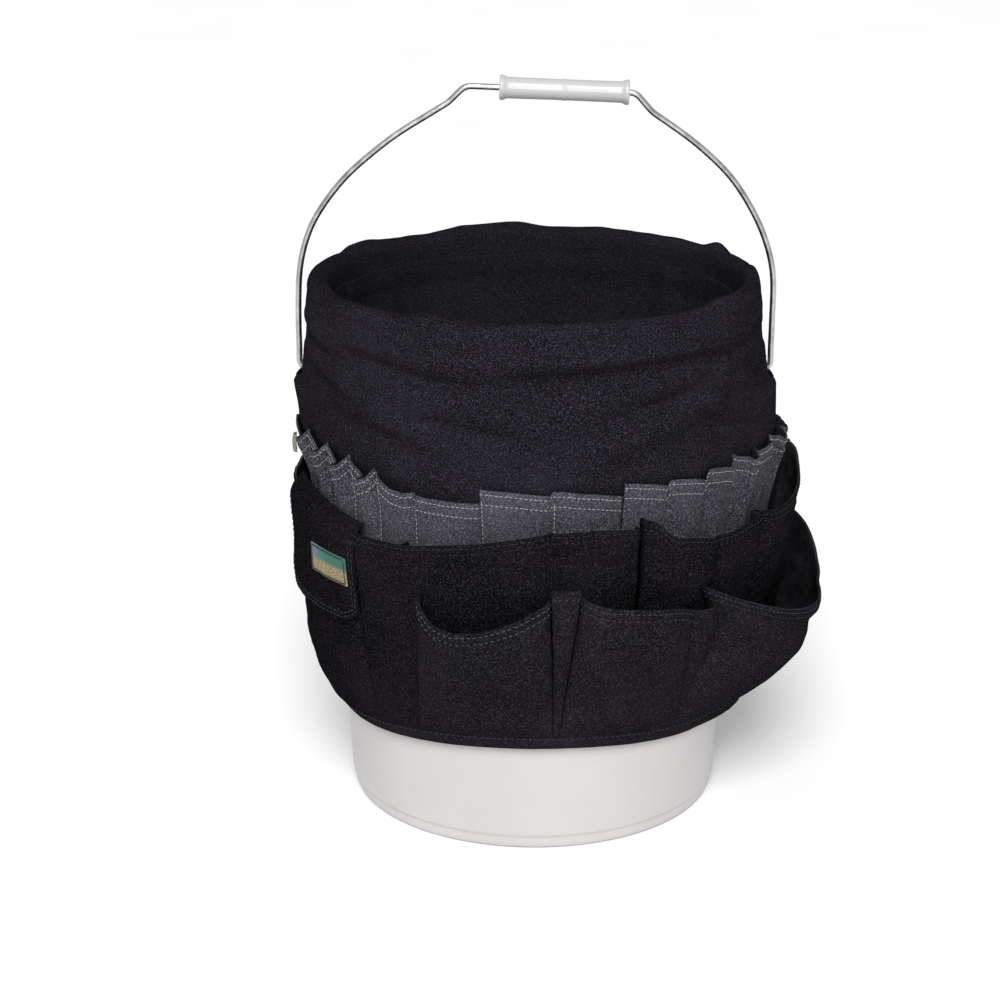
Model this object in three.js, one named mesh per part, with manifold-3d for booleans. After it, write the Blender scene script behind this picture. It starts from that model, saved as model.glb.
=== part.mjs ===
// Tool bucket organizer: a plastic pail with a wire bail, wearing a fabric jacket of open pockets.
// Millimetres, +Z up. The origin is the centre of the pail's base. The bail's hinge runs along X.
// Angles round the jacket are in degrees from the front (-Y), positive towards +X.
import * as THREE from "three";
import { mergeVertices } from "three/addons/utils/BufferGeometryUtils.js";
import Module from "manifold-3d";

// Pail
const PAIL_HEIGHT = 370;
const PAIL_FOOT_R = 129.5; // foot ring, a step inside the wall
const PAIL_FOOT_H = 10;
const PAIL_BASE_R = 131.5;
const PAIL_TOP_R = 146.5; // outside of the wall just under the rim
const PAIL_WALL = 2.2;
const PAIL_FLOOR = 3;
const RIM_R = 151.5;
const RIM_DROP = 17; // height of the rim's skirt
const RIB_R = 150.3;
const RIB_HEIGHTS = [326, 284];
const RIB_THICKNESS = 2.6;
const EAR_R = 8.5;
const EAR_FACE = 153.6; // how far the ear reaches from the axis
const EAR_BORE_R = 2.55;

// Bail and grip
const HINGE_Z = 306;
const WIRE_R = 2.1;
const BAIL_HALF_WIDTH = 163.4;
const PIN_TIP = 147.2; // inner end of each hooked wire end
const FLAT_LEFT = [-47.6, 500.3]; // the two ends of the straight stretch under the grip
const FLAT_RIGHT = [67, 496];
const GRIP_LENGTH = 87;
const GRIP_R = 7.2;
const GRIP_BEAD_R = 8.4;
const GRIP_BORE_R = 4.2;
const WIRE_BEND = 4.5; // how far each bend reaches along the wire

// Fabric
const CLOTH = 1.5;
const GAP = 0.5; // between pieces that are sewn to or rest on each other
const RING_SEGMENTS = 40;
const SEAM = 0.7; // degrees kept free beside each seam
const EAR_ANGLE = 90;

// Heights where the layers begin, end or change slope
const HEM_HEIGHT = 9;
const BELLY = 122; // the skirt hangs widest at about this height
const GRAY_BOTTOM = 140;
const LAYER_FULL = 200; // every tier has its full depth above this height
const MIDDLE_TOP = 240;
const GRAY_TOP = 267;
const SHELF_BOTTOM = 299.5; // under the bail's wires the skirt steps in to let them swing
const SHELF_TOP = 303;
const SKIRT_TOP = 345.5;
const LINER_TOP = 351.5;
const LINER_BOTTOM = 160;

const TAB_ANGLE = -84; // the small loop of tape on the gray strip
const TAB_Z = 256;
const TAB_THICKNESS = 3;
const TAB_WIDTH = 8;
const TAB_LENGTH = 12;

// The flap and the pocket under it
const FLAP_FROM = -80.5;
const FLAP_TO = -44;
const FLAP_TOP = 237;
const FLAP_BOTTOM = 160;
const FLAP_CORNER = 14;

const wasm = await Module();
wasm.setup();

const cloth = (color, roughness) => new THREE.MeshStandardMaterial({ color, roughness });
const MATERIALS = {
  pail: new THREE.MeshStandardMaterial({ color: 0xe9e7e4, roughness: 0.45 }),
  wire: new THREE.MeshStandardMaterial({ color: 0x9a9a9c, roughness: 0.35, metalness: 0.9 }),
  grip: new THREE.MeshStandardMaterial({ color: 0xf2f1ef, roughness: 0.35 }),
  black: cloth(0x19191c, 0.85),
  gray: cloth(0x4c4f57, 0.9),
  trim: cloth(0x101012, 0.7),
  label: cloth(0x3a6f62, 0.7),
};

const group = new THREE.Group();

function add(name, geometry, material) {
  const mesh = new THREE.Mesh(geometry, MATERIALS[material]);
  mesh.name = name;
  group.add(mesh);
  return mesh;
}

// ---------- joining and cutting ----------

function toSolid(geometry) {
  const bare = new THREE.BufferGeometry();
  const source = geometry.index ? geometry.toNonIndexed() : geometry;
  bare.setAttribute("position", source.getAttribute("position"));
  const merged = mergeVertices(bare, 1e-3);
  return new wasm.Manifold(
    new wasm.Mesh({
      numProp: 3,
      vertProperties: merged.attributes.position.array,
      triVerts: new Uint32Array(merged.index.array),
    }),
  );
}

function toGeometry(solid) {
  const mesh = solid.getMesh();
  const geometry = new THREE.BufferGeometry();
  geometry.setAttribute("position", new THREE.BufferAttribute(mesh.vertProperties, 3));
  geometry.setIndex(new THREE.BufferAttribute(mesh.triVerts, 1));
  geometry.computeVertexNormals();
  return geometry;
}

// ---------- shapes ----------

const radians = THREE.MathUtils.degToRad;
const lerp = THREE.MathUtils.lerp;

// 0 below `from`, 1 above `to`, straight in between.
const ramp = (value, from, to) => THREE.MathUtils.clamp((value - from) / (to - from), 0, 1);

// Straight lines through [x, y] pairs.
function through(pairs) {
  return (x) => {
    const next = pairs.findIndex(([px]) => px >= x);
    if (next === 0) return pairs[0][1];
    if (next < 0) return pairs[pairs.length - 1][1];
    const [x0, y0] = pairs[next - 1];
    const [x1, y1] = pairs[next];
    return lerp(y0, y1, (x - x0) / (x1 - x0));
  };
}

// 1 at `centre`, falling smoothly to 0 at `width` degrees either side.
function bump(angle, centre, width) {
  const away = Math.abs(THREE.MathUtils.euclideanModulo(angle - centre + 180, 360) - 180);
  return away >= width ? 0 : 0.5 + 0.5 * Math.cos((Math.PI * away) / width);
}

function turned(points, segments) {
  const profile = points.map(([r, z]) => new THREE.Vector2(r, z));
  return new THREE.LatheGeometry(profile, segments).rotateX(Math.PI / 2);
}

function onCircle(angle, radius, z) {
  return new THREE.Vector3(radius * Math.sin(radians(angle)), -radius * Math.cos(radians(angle)), z);
}

// A sheet of cloth: rows of points, given a thickness along the surface's own normals.
// Each row runs towards growing angle, and a closed sheet joins each row's end to its start.
function sheet(rows, thickness, closed = false) {
  const across = rows[0].length;
  const sides = [1, -1].map((side) =>
    rows.map((row, j) =>
      row.map((point, i) => {
        const before = closed ? row[(i + across - 1) % across] : row[Math.max(i - 1, 0)];
        const after = closed ? row[(i + 1) % across] : row[Math.min(i + 1, across - 1)];
        const below = rows[Math.max(j - 1, 0)][i];
        const above = rows[Math.min(j + 1, rows.length - 1)][i];
        const along = after.clone().sub(before).normalize();
        const up = above.clone().sub(below).normalize();
        const normal = along.cross(up).normalize();
        return point.clone().addScaledVector(normal, (side * thickness) / 2);
      }),
    ),
  );
  const positions = sides.flat(2).flatMap((p) => p.toArray());
  const at = (side, j, i) => (side * rows.length + j) * across + (i % across);
  const index = [];
  const quad = (a, b, c, d) => index.push(a, b, c, a, c, d);
  const last = rows.length - 1;
  for (let i = 0; i < (closed ? across : across - 1); i++) {
    for (let j = 0; j < last; j++) {
      quad(at(0, j, i), at(0, j, i + 1), at(0, j + 1, i + 1), at(0, j + 1, i));
      quad(at(1, j, i), at(1, j + 1, i), at(1, j + 1, i + 1), at(1, j, i + 1));
    }
    quad(at(0, last, i), at(0, last, i + 1), at(1, last, i + 1), at(1, last, i));
    quad(at(0, 0, i), at(1, 0, i), at(1, 0, i + 1), at(0, 0, i + 1));
  }
  if (!closed) {
    const end = across - 1;
    for (let j = 0; j < last; j++) {
      quad(at(0, j, 0), at(0, j + 1, 0), at(1, j + 1, 0), at(1, j, 0));
      quad(at(0, j, end), at(1, j, end), at(1, j + 1, end), at(0, j + 1, end));
    }
  }
  const geometry = new THREE.BufferGeometry();
  geometry.setAttribute("position", new THREE.Float32BufferAttribute(positions, 3));
  geometry.setIndex(index);
  geometry.computeVertexNormals();
  return geometry;
}

// A ring of cloth through [radius(angle), z(angle)] rows.
function ring(rows, thickness = CLOTH) {
  const angles = Array.from({ length: RING_SEGMENTS }, (_, i) => (i * 360) / RING_SEGMENTS);
  const points = rows.map(([radius, z]) => angles.map((a) => onCircle(a, radius(a), z(a))));
  return sheet(points, thickness, true);
}

// ---------- the pail ----------

const pailRadius = (z) => lerp(PAIL_BASE_R, PAIL_TOP_R, ramp(z, PAIL_FOOT_H + 2, PAIL_HEIGHT - RIM_DROP));

function makePail() {
  const rimBottom = PAIL_HEIGHT - RIM_DROP;
  const outside = [
    [0, 0],
    [PAIL_FOOT_R - 2.5, 0],
    [PAIL_FOOT_R, 2.5],
    [PAIL_FOOT_R, PAIL_FOOT_H - 1.5],
    [PAIL_BASE_R, PAIL_FOOT_H + 1],
  ];
  for (const z of [...RIB_HEIGHTS].reverse()) {
    const half = RIB_THICKNESS / 2;
    outside.push([pailRadius(z - half), z - half], [RIB_R, z - half]);
    outside.push([RIB_R, z + half], [pailRadius(z + half), z + half]);
  }
  const rim = [
    [PAIL_TOP_R, rimBottom],
    [RIM_R, rimBottom],
    [RIM_R, PAIL_HEIGHT - 2],
    [RIM_R - 2, PAIL_HEIGHT],
    [PAIL_TOP_R - 0.7, PAIL_HEIGHT],
  ];
  const inside = [
    [PAIL_TOP_R - PAIL_WALL, PAIL_HEIGHT - 2],
    [PAIL_TOP_R - PAIL_WALL, rimBottom],
    [PAIL_BASE_R - PAIL_WALL, PAIL_FLOOR + 6],
    [PAIL_BASE_R - PAIL_WALL - 5, PAIL_FLOOR],
    [0, PAIL_FLOOR],
  ];
  let pail = toSolid(turned([...outside, ...rim, ...inside], RING_SEGMENTS));
  for (const side of [-1, 1]) {
    const inner = pailRadius(HINGE_Z) - PAIL_WALL / 2;
    const boss = new THREE.CylinderGeometry(EAR_R, EAR_R + 1.5, EAR_FACE - inner, 20);
    const bore = new THREE.CylinderGeometry(EAR_BORE_R, EAR_BORE_R, 20, 16);
    boss.rotateZ(-Math.PI / 2).translate((EAR_FACE + inner) / 2, 0, HINGE_Z);
    bore.rotateZ(-Math.PI / 2).translate(PIN_TIP - 1 + 10, 0, HINGE_Z);
    if (side < 0) {
      boss.rotateZ(Math.PI);
      bore.rotateZ(Math.PI);
    }
    pail = pail.add(toSolid(boss)).subtract(toSolid(bore));
  }
  return toGeometry(pail);
}

// ---------- the bail and its grip ----------

// Straight lines between [x, z] corners in the bail's plane, each corner rounded off.
function roundedPath(corners, radius) {
  const path = new THREE.CurvePath();
  const points = corners.map(([x, z]) => new THREE.Vector3(x, 0, z));
  let start = points[0];
  for (let i = 1; i < points.length - 1; i++) {
    const into = points[i - 1].clone().sub(points[i]).setLength(radius).add(points[i]);
    const out = points[i + 1].clone().sub(points[i]).setLength(radius).add(points[i]);
    path.add(new THREE.LineCurve3(start, into));
    path.add(new THREE.QuadraticBezierCurve3(into, points[i], out));
    start = out;
  }
  path.add(new THREE.LineCurve3(start, points[points.length - 1]));
  return path;
}

function makeBail() {
  const corners = [
    [-BAIL_HALF_WIDTH, HINGE_Z],
    [-BAIL_HALF_WIDTH, 345],
    [-162, 379],
    [-153, 408],
    [-130, 439],
    [-96, 467],
    [-59.5, 488.5],
    FLAT_LEFT,
    FLAT_RIGHT,
    [78.5, 482.5],
    [106, 464.5],
    [134, 439],
    [154, 406],
    [164, 375],
    [BAIL_HALF_WIDTH, 345],
    [BAIL_HALF_WIDTH, HINGE_Z],
  ];
  const section = new THREE.Shape().absarc(0, 0, WIRE_R, 0, 2 * Math.PI);
  const arch = new THREE.ExtrudeGeometry(section, {
    steps: 54,
    curveSegments: 5,
    bevelEnabled: false,
    extrudePath: roundedPath(corners, WIRE_BEND),
  });
  let bail = toSolid(arch);
  for (const side of [-1, 1]) {
    const outer = BAIL_HALF_WIDTH + WIRE_R;
    const pin = new THREE.CylinderGeometry(WIRE_R, WIRE_R, outer - PIN_TIP, 10).rotateZ(Math.PI / 2);
    pin.translate((side * (outer + PIN_TIP)) / 2, 0, HINGE_Z);
    bail = bail.add(toSolid(pin));
  }
  return toGeometry(bail);
}

function makeGrip() {
  const half = GRIP_LENGTH / 2;
  const profile = [
    [GRIP_BORE_R, -half],
    [GRIP_BEAD_R - 0.8, -half],
    [GRIP_BEAD_R, -half + 0.8],
    [GRIP_BEAD_R, -half + 3],
    [GRIP_R, -half + 5.5],
    [GRIP_R, half - 5.5],
    [GRIP_BEAD_R, half - 3],
    [GRIP_BEAD_R, half - 0.8],
    [GRIP_BEAD_R - 0.8, half],
    [GRIP_BORE_R, half],
    [GRIP_BORE_R, -half],
  ];
  const grip = turned(profile, 20).rotateY(Math.PI / 2);
  const left = new THREE.Vector3(FLAT_LEFT[0], 0, FLAT_LEFT[1]);
  const right = new THREE.Vector3(FLAT_RIGHT[0], 0, FLAT_RIGHT[1]);
  const along = right.clone().sub(left).normalize();
  const centre = right.clone().addScaledVector(along, -(WIRE_BEND + half));
  grip.rotateY(-Math.atan2(along.z, along.x));
  return grip.translate(centre.x, centre.y, centre.z);
}

// ---------- the jacket's layers ----------

// The skirt's profile at the left, under the flap, and everywhere else.
const leftSkirt = through([
  [70, 137.2],
  [82, 145.5],
  [96, 150],
  [BELLY, 152.5],
  [GRAY_BOTTOM, 151.5],
  [LAYER_FULL, 147.5],
  [MIDDLE_TOP, 148],
  [GRAY_TOP, 153],
  [SHELF_BOTTOM, 158],
  [SHELF_TOP, 158.2],
  [SKIRT_TOP, 156],
]);
const skirt = through([
  [70, 136.8],
  [82, 140.5],
  [96, 144],
  [BELLY, 148.5],
  [GRAY_BOTTOM, 150],
  [LAYER_FULL, 151.5],
  [MIDDLE_TOP, 154],
  [GRAY_TOP, 156.5],
  [SHELF_BOTTOM, 158.2],
  [SHELF_TOP, 158.2],
  [SKIRT_TOP, 156],
]);

// How far the skirt stands out at each ear. At the right it hangs out all the way down.
const leftBulge = through([
  [82, 0],
  [96, 2],
  [BELLY, 3.5],
  [GRAY_BOTTOM, 2.5],
  [LAYER_FULL, 0],
  [MIDDLE_TOP, 3],
  [GRAY_TOP, 9],
  [SHELF_BOTTOM, 8],
  [SHELF_TOP, 0],
]);
const rightBulge = through([
  [70, 13],
  [82, 17],
  [96, 17],
  [BELLY, 13],
  [GRAY_BOTTOM, 11],
  [LAYER_FULL, 6],
  [MIDDLE_TOP, 8],
  [GRAY_TOP, 11],
  [SHELF_BOTTOM, 8],
  [SHELF_TOP, 0],
]);

// Middle of the skirt's thickness.
function skirtRadius(a, z) {
  const bulge = leftBulge(z) * bump(a, -EAR_ANGLE, 26) + rightBulge(z) * bump(a, 88, 36);
  return lerp(skirt(z), leftSkirt(z), bump(a, -70, 60)) + bulge;
}

// The lower edge dips at the sides.
const hemZ = (a) => 81 - 9 * bump(a, -75, 75) - 12 * bump(a, 72, 70) - 5 * bump(a, 180, 80);

// The front tier, and whatever has no tier over it, is sewn down just above the hem.
const frontBottom = (a) => hemZ(a) + HEM_HEIGHT + 1;
const middleBottom = (a) => hemZ(a) + HEM_HEIGHT + 9;
const grayBottom = () => GRAY_BOTTOM;

// Heights at which every layer has a row of corners, so that the layers follow one another.
const fixed = (...heights) => heights.map((z) => () => z);
const LEVELS = [
  frontBottom,
  middleBottom,
  ...fixed(BELLY),
  grayBottom,
  ...fixed(170, LAYER_FULL, MIDDLE_TOP),
];

// Depth of the hollow in each tier where it is full.
const grayDepth = () => 7.6;
const middleDepth = (a) => 11.5 - 4 * bump(a, -36, 30) - 6 * bump(a, -88, 34) + 2 * bump(a, 78, 40);
const frontDepth = (a) => 19 + 12 * bump(a, 66, 34);
const flapPocketDepth = () => 6.5;

// Radius of the surface that each tier is sewn on.
function grayBase(a, z) {
  return skirtRadius(a, z) + CLOTH / 2 + GAP;
}

function middleBase(a, z) {
  const flat = (CLOTH + GAP) * ramp(z, BELLY, GRAY_BOTTOM);
  return grayBase(a, z) + flat + grayDepth(a) * ramp(z, GRAY_BOTTOM, LAYER_FULL);
}

function frontBase(a, z) {
  const flat = (CLOTH + GAP) * ramp(z, frontBottom(a), middleBottom(a));
  return middleBase(a, z) + flat + middleDepth(a) * ramp(z, middleBottom(a), LAYER_FULL);
}

// Fractions of a pocket's width at which its cloth is drawn, close together at the two sides.
function acrossPocket(width) {
  const steps = Math.max(3, Math.ceil((0.74 * width) / 9));
  const middle = Array.from({ length: steps + 1 }, (_, i) => lerp(0.13, 0.87, i / steps));
  return [0, 0.025, ...middle, 0.975, 1];
}

// How far a pocket's cloth stands off its base at fraction s of its width, 1 being its full depth.
const plump = (s, square) => (1 - Math.abs(2 * s - 1) ** square) ** (1 / square);

// A pocket's front with its two sides: sewn at `from` and `to` degrees on base(angle, z), open at
// the top along edge(s), where s runs 0 to 1 across it, and lying flat on the base at its bottom(angle).
function pocket({ from, to, base, depth, bottom, fullAt, edge, square = 3 }) {
  const across = acrossPocket(to - from);
  const angleAt = (s) => lerp(from + SEAM, to - SEAM, s);
  const lowest = Math.min(...across.map(edge));
  const heights = LEVELS.slice(LEVELS.indexOf(bottom)).filter((level) => level(from) < lowest - 8);
  const rows = [...heights.map((level) => (s) => level(angleAt(s))), edge].map((height) =>
    across.map((s) => {
      const angle = angleAt(s);
      const z = height(s);
      const full = depth(angle) * ramp(z, bottom(angle), fullAt);
      const atSeam = s === 0 || s === 1;
      const flat = atSeam ? lerp(CLOTH / 2 + 0.2, 0.3, ramp(full, 0, 4)) : CLOTH / 2 + 0.2;
      return onCircle(angle, base(angle, z) + flat + full * plump(s, square), z);
    }),
  );
  return sheet(rows, CLOTH);
}

// ---------- the jacket's parts ----------

function makeSkirt() {
  const heights = [...LEVELS, ...fixed(GRAY_TOP, SHELF_BOTTOM, SHELF_TOP, SKIRT_TOP)];
  let cloth = toSolid(ring(heights.map((z) => [(a) => skirtRadius(a, z(a)), z])));
  for (const side of [-1, 1]) {
    cloth = cloth.subtract(slotCutter(side));
  }
  return toGeometry(cloth);
}

// The opening that the hooked end of the bail passes through.
function slotCutter(side) {
  const cutter = new THREE.BoxGeometry(40, 15, 17);
  return toSolid(cutter.translate(side * 162, 0, 305.5));
}

function makeSlotBinding(side) {
  const spread = [-9, -4.5, 0, 4.5, 9];
  const rows = [SHELF_TOP + 1.2, 312, 322].map((z) =>
    spread.map((a) => onCircle(side * EAR_ANGLE + a, skirtRadius(EAR_ANGLE, z) + 1.6, z)),
  );
  return toGeometry(toSolid(sheet(rows, 1)).subtract(slotCutter(side)));
}

function makeHem() {
  const heights = [hemZ, (a) => hemZ(a) + HEM_HEIGHT];
  const rows = heights.map((z) => [(a) => skirtRadius(a, z(a)) + 0.5, z]);
  return ring(rows, CLOTH + 0.9);
}

function makeCollar() {
  const path = [
    [156, SKIRT_TOP + 0.5],
    [156.4, 359],
    [155.8, 366.5],
    [153.8, 370.9],
    [150, 372.6],
    [145.6, 372],
    [142.7, 369],
    [142.2, LINER_TOP + 0.4],
  ];
  return ring(path.map(([r, z]) => [() => r, () => z]));
}

function makeLiner() {
  const path = [
    [142.2, LINER_TOP],
    [140, 310],
    [136.4, 235],
    [132.4, LINER_BOTTOM + 8],
    [132, LINER_BOTTOM],
  ];
  return ring(path.map(([r, z]) => [() => r, () => z]));
}

// The flap lies over its pocket: from its seam on the gray pockets out over the mouth, then down.
function flapRadius(s, z) {
  const angle = lerp(FLAP_FROM, FLAP_TO, s);
  const seam = middleBase(angle, z) + CLOTH / 2 + 0.3;
  const over = flapPocketDepth() + CLOTH + 2.8;
  const out = 1 - ramp(z, FLAP_TOP - 12, FLAP_TOP) ** 2;
  return seam + over * out * (0.75 + 0.25 * plump(lerp(0.1, 0.9, s), 3));
}

function makeFlap() {
  const across = [0, 0.08, 0.25, 0.42, 0.58, 0.75, 0.92, 1];
  const rounded = (s) => FLAP_CORNER * Math.max(0, 1 - Math.min(s, 1 - s) / 0.25) ** 2;
  const levels = [FLAP_BOTTOM, FLAP_BOTTOM + 16, LAYER_FULL, FLAP_TOP - 12, FLAP_TOP - 6, FLAP_TOP];
  const rows = levels.map((level, j) =>
    across.map((s) => {
      const z = j === 0 ? level + rounded(s) : level;
      return onCircle(lerp(FLAP_FROM, FLAP_TO, s), flapRadius(s, z), z);
    }),
  );
  return sheet(rows, CLOTH);
}

// A thin patch lying on the flap, outside it (side 1) or under it (side -1).
function makeFlapPatch({ from, to, bottom, top, side, thickness }) {
  const heights = [bottom, lerp(bottom, top, 0.5), top];
  const rows = heights.map((z) =>
    [0, 0.25, 0.5, 0.75, 1].map((t) => {
      const s = lerp(from, to, t);
      const off = side * (CLOTH / 2 + 0.35 + thickness / 2);
      return onCircle(lerp(FLAP_FROM, FLAP_TO, s), flapRadius(s, z) + off, z);
    }),
  );
  return sheet(rows, thickness);
}

function makeSideTab() {
  const tab = new THREE.BoxGeometry(TAB_THICKNESS, TAB_WIDTH, TAB_LENGTH);
  tab.translate(middleBase(TAB_ANGLE, TAB_Z) + 2.6, 0, TAB_Z);
  return tab.rotateZ(radians(TAB_ANGLE - 90));
}

// ---------- assembly ----------

add("pail", makePail(), "pail");
add("bail_wire", makeBail(), "wire");
add("bail_grip", makeGrip(), "grip");

add("outer_skirt", makeSkirt(), "black");
add("bottom_hem", makeHem(), "trim");
add("rim_collar", makeCollar(), "black");
add("inner_liner", makeLiner(), "black");
add("bail_slot_binding_left", makeSlotBinding(-1), "trim");
add("bail_slot_binding_right", makeSlotBinding(1), "trim");

// The gray strip: ten stretches of small pockets, all the way round.
const GRAY_COUNT = 10;
for (let k = 0; k < GRAY_COUNT; k++) {
  const from = -12.2 + (k * 360) / GRAY_COUNT;
  const geometry = pocket({
    from,
    to: from + 360 / GRAY_COUNT,
    base: grayBase,
    depth: grayDepth,
    bottom: grayBottom,
    fullAt: LAYER_FULL,
    edge: (s) => GRAY_TOP - 1.5 * (1 - (2 * s - 1) ** 2),
    square: 4,
  });
  add(`gray_pockets_${String(k + 1).padStart(2, "0")}`, geometry, "gray");
}

// The middle tier. Each entry: from, to, then the height of its edge at its start, middle and end.
const MIDDLE_POCKETS = [
  ["strip", -43.2, -29.5, 226, 225, 226],
  ["front", -29.5, 24, 225, 236, 245.5],
  ["front_right", 24, 62, 233, 225, 227],
  ["right", 62, 96, 227, 226, 236],
  ["back_right", 96, 132, 232, 228, 232],
  ["back_1", 132, 168, 232, 228, 232],
  ["back_2", 168, 204, 232, 228, 232],
  ["back_left", 204, 240, 232, 228, 232],
  ["left", 240, 278.6, 232, 227, 228],
];
for (const [name, from, to, start, centre, end] of MIDDLE_POCKETS) {
  const edge = through([
    [0, start],
    [0.5, centre],
    [1, end],
  ]);
  const geometry = pocket({
    from,
    to,
    base: middleBase,
    depth: middleDepth,
    bottom: name === "strip" ? frontBottom : middleBottom,
    fullAt: LAYER_FULL,
    edge,
    square: 4,
  });
  add(`middle_pocket_${name}`, geometry, "black");
}

// The front tier, with four heights of the edge each.
const FRONT_POCKETS = [
  ["front_left", -28.6, 6.5, 194, 178, 181, 201],
  ["front_right", 6.5, 41, 201, 193, 193, 196],
  ["right", 41, 97, 192, 159, 158, 196],
  ["back_right", 98, 133, 197, 190, 190, 197],
  ["back_1", 133, 168, 197, 190, 190, 197],
  ["back_2", 168, 203, 197, 190, 190, 197],
  ["back_left", 203, 238, 197, 190, 190, 197],
];
for (const [name, from, to, start, left, right, end] of FRONT_POCKETS) {
  const edge = through([
    [0, start],
    [0.4, left],
    [0.6, right],
    [1, end],
  ]);
  const geometry = pocket({
    from,
    to,
    base: frontBase,
    depth: frontDepth,
    bottom: frontBottom,
    fullAt: name === "right" ? BELLY : 165,
    edge,
    square: 2.6,
  });
  add(`large_pocket_${name}`, geometry, "black");
}

const flapPocket = pocket({
  from: FLAP_FROM + 0.6,
  to: FLAP_TO - 0.6,
  base: middleBase,
  depth: flapPocketDepth,
  bottom: frontBottom,
  fullAt: BELLY,
  edge: () => 222,
  square: 3,
});
add("flap_pocket", flapPocket, "black");
add("pocket_flap", makeFlap(), "black");
const label = { from: 0.56, to: 0.96, bottom: 185, top: 207, side: 1, thickness: 1 };
add("label_patch", makeFlapPatch(label), "label");
const tape = { from: 0.36, to: 0.64, bottom: 166, top: 186, side: -1, thickness: 1 };
add("flap_hook_tape", makeFlapPatch(tape), "trim");
add("side_tab", makeSideTab(), "gray");

group.updateMatrixWorld(true);
export default group;
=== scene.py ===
"""A plastic pail with a wire bail, wearing a black fabric jacket of tool pockets."""

import math

import bmesh
import bpy
import numpy as np
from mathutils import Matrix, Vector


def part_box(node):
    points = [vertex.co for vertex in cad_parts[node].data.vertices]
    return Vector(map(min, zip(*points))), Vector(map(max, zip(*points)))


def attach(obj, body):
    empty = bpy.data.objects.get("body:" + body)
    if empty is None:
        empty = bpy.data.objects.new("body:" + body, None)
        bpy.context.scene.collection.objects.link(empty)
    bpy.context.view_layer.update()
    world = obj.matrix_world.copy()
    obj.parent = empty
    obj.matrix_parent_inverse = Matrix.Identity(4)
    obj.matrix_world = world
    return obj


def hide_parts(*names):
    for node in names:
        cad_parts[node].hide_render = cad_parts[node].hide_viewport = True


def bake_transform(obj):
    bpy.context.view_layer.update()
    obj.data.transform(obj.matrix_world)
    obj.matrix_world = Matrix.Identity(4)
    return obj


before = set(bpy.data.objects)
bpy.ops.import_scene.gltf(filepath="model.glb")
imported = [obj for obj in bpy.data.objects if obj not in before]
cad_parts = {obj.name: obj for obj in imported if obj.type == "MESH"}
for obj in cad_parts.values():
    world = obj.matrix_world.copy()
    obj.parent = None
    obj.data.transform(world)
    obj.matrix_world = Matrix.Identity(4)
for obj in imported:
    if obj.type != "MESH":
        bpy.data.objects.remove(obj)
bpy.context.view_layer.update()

# Lengths below are in millimetres and angles in degrees from the front (-Y) towards +X.
MM = 0.001
CLOTH = 1.3
CLEAR = 0.2  # the least space between two layers
HEM_EXTRA = 1.0  # how much thicker a turned hem is than the cloth
RING_STEPS = 640  # columns of a piece that runs all the way round
CELL = 2.2  # a pocket's grid has cells of about this size

HEM_HEIGHT = 9
BELLY = 122  # the skirt hangs widest at about this height
GRAY_BOTTOM = 140
LAYER_FULL = 200
MIDDLE_TOP = 240
GRAY_TOP = 267
SHELF_BOTTOM = 299.5
SHELF_TOP = 303
SKIRT_TOP = 345.5
HINGE_Z = 306
HEM_GRAY, HEM_MIDDLE, HEM_LARGE = 9.5, 7, 9  # height of the turned hem at a pocket's mouth
ROUND = 57.3  # degrees in a radian, near enough for short arcs on the jacket


def box_mm(node):
    low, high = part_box(node)
    return np.array(low) / MM, np.array(high) / MM


_, RIM_R, PAIL_HEIGHT = box_mm("pail")[1]
LINER_BOTTOM = box_mm("inner_liner")[0][2]


# ---------- numbers ----------


def smooth(x, low, high):
    t = np.clip((x - low) / (high - low), 0, 1)
    return t * t * (3 - 2 * t)


def ramp(x, low, high):
    return np.clip((x - low) / (high - low), 0, 1)


def bump(angle, centre, width):
    """1 at centre, falling smoothly to 0 at width degrees either side."""
    away = np.abs((angle - centre + 180) % 360 - 180)
    return np.where(away < width, 0.5 + 0.5 * np.cos(np.pi * away / width), 0)


def bell(x, centre, width):
    """1 at centre, fading away to both sides."""
    return np.exp(-(((x - centre) / width) ** 2))


def noise(u, v, seed, period=256):
    """Smooth noise from about -1 to 1 on unit cells; u repeats after period cells."""
    table = np.random.default_rng(seed).uniform(-1, 1, (period, 256))
    iu, iv = np.floor(u).astype(int), np.floor(v).astype(int)
    fu, fv = u - iu, v - iv
    wu, wv = fu * fu * (3 - 2 * fu), fv * fv * (3 - 2 * fv)
    a, b = iu % period, (iu + 1) % period
    c, d = iv % 256, (iv + 1) % 256
    low = table[a, c] * (1 - wu) + table[b, c] * wu
    high = table[a, d] * (1 - wu) + table[b, d] * wu
    return low * (1 - wv) + high * wv


def around(angle, cells):
    """Angle as a noise coordinate that closes on itself after a full turn of cells."""
    return (angle % 360) / 360 * cells


def polar(angle, radius, z):
    a, radius, z = np.broadcast_arrays(np.radians(angle), radius, z)
    return np.stack([radius * np.sin(a), -radius * np.cos(a), z], -1)


def unit(v):
    return v / np.maximum(np.linalg.norm(v, axis=-1, keepdims=True), 1e-9)


def run_along(path):
    """The distance along a path at each of its points."""
    return np.concatenate([[0], np.cumsum(np.linalg.norm(np.diff(path, axis=0), axis=1))])


def picked(path, run, places):
    """The points of a path at the given distances along it."""
    return np.stack([np.interp(places, run, path[:, k]) for k in range(path.shape[1])], -1)


def evened(path, count):
    """A path taken again at count even distances, and those distances."""
    run = run_along(path)
    places = np.linspace(0, run[-1], count)
    return picked(path, run, places), places


# ---------- mesh building ----------


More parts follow.
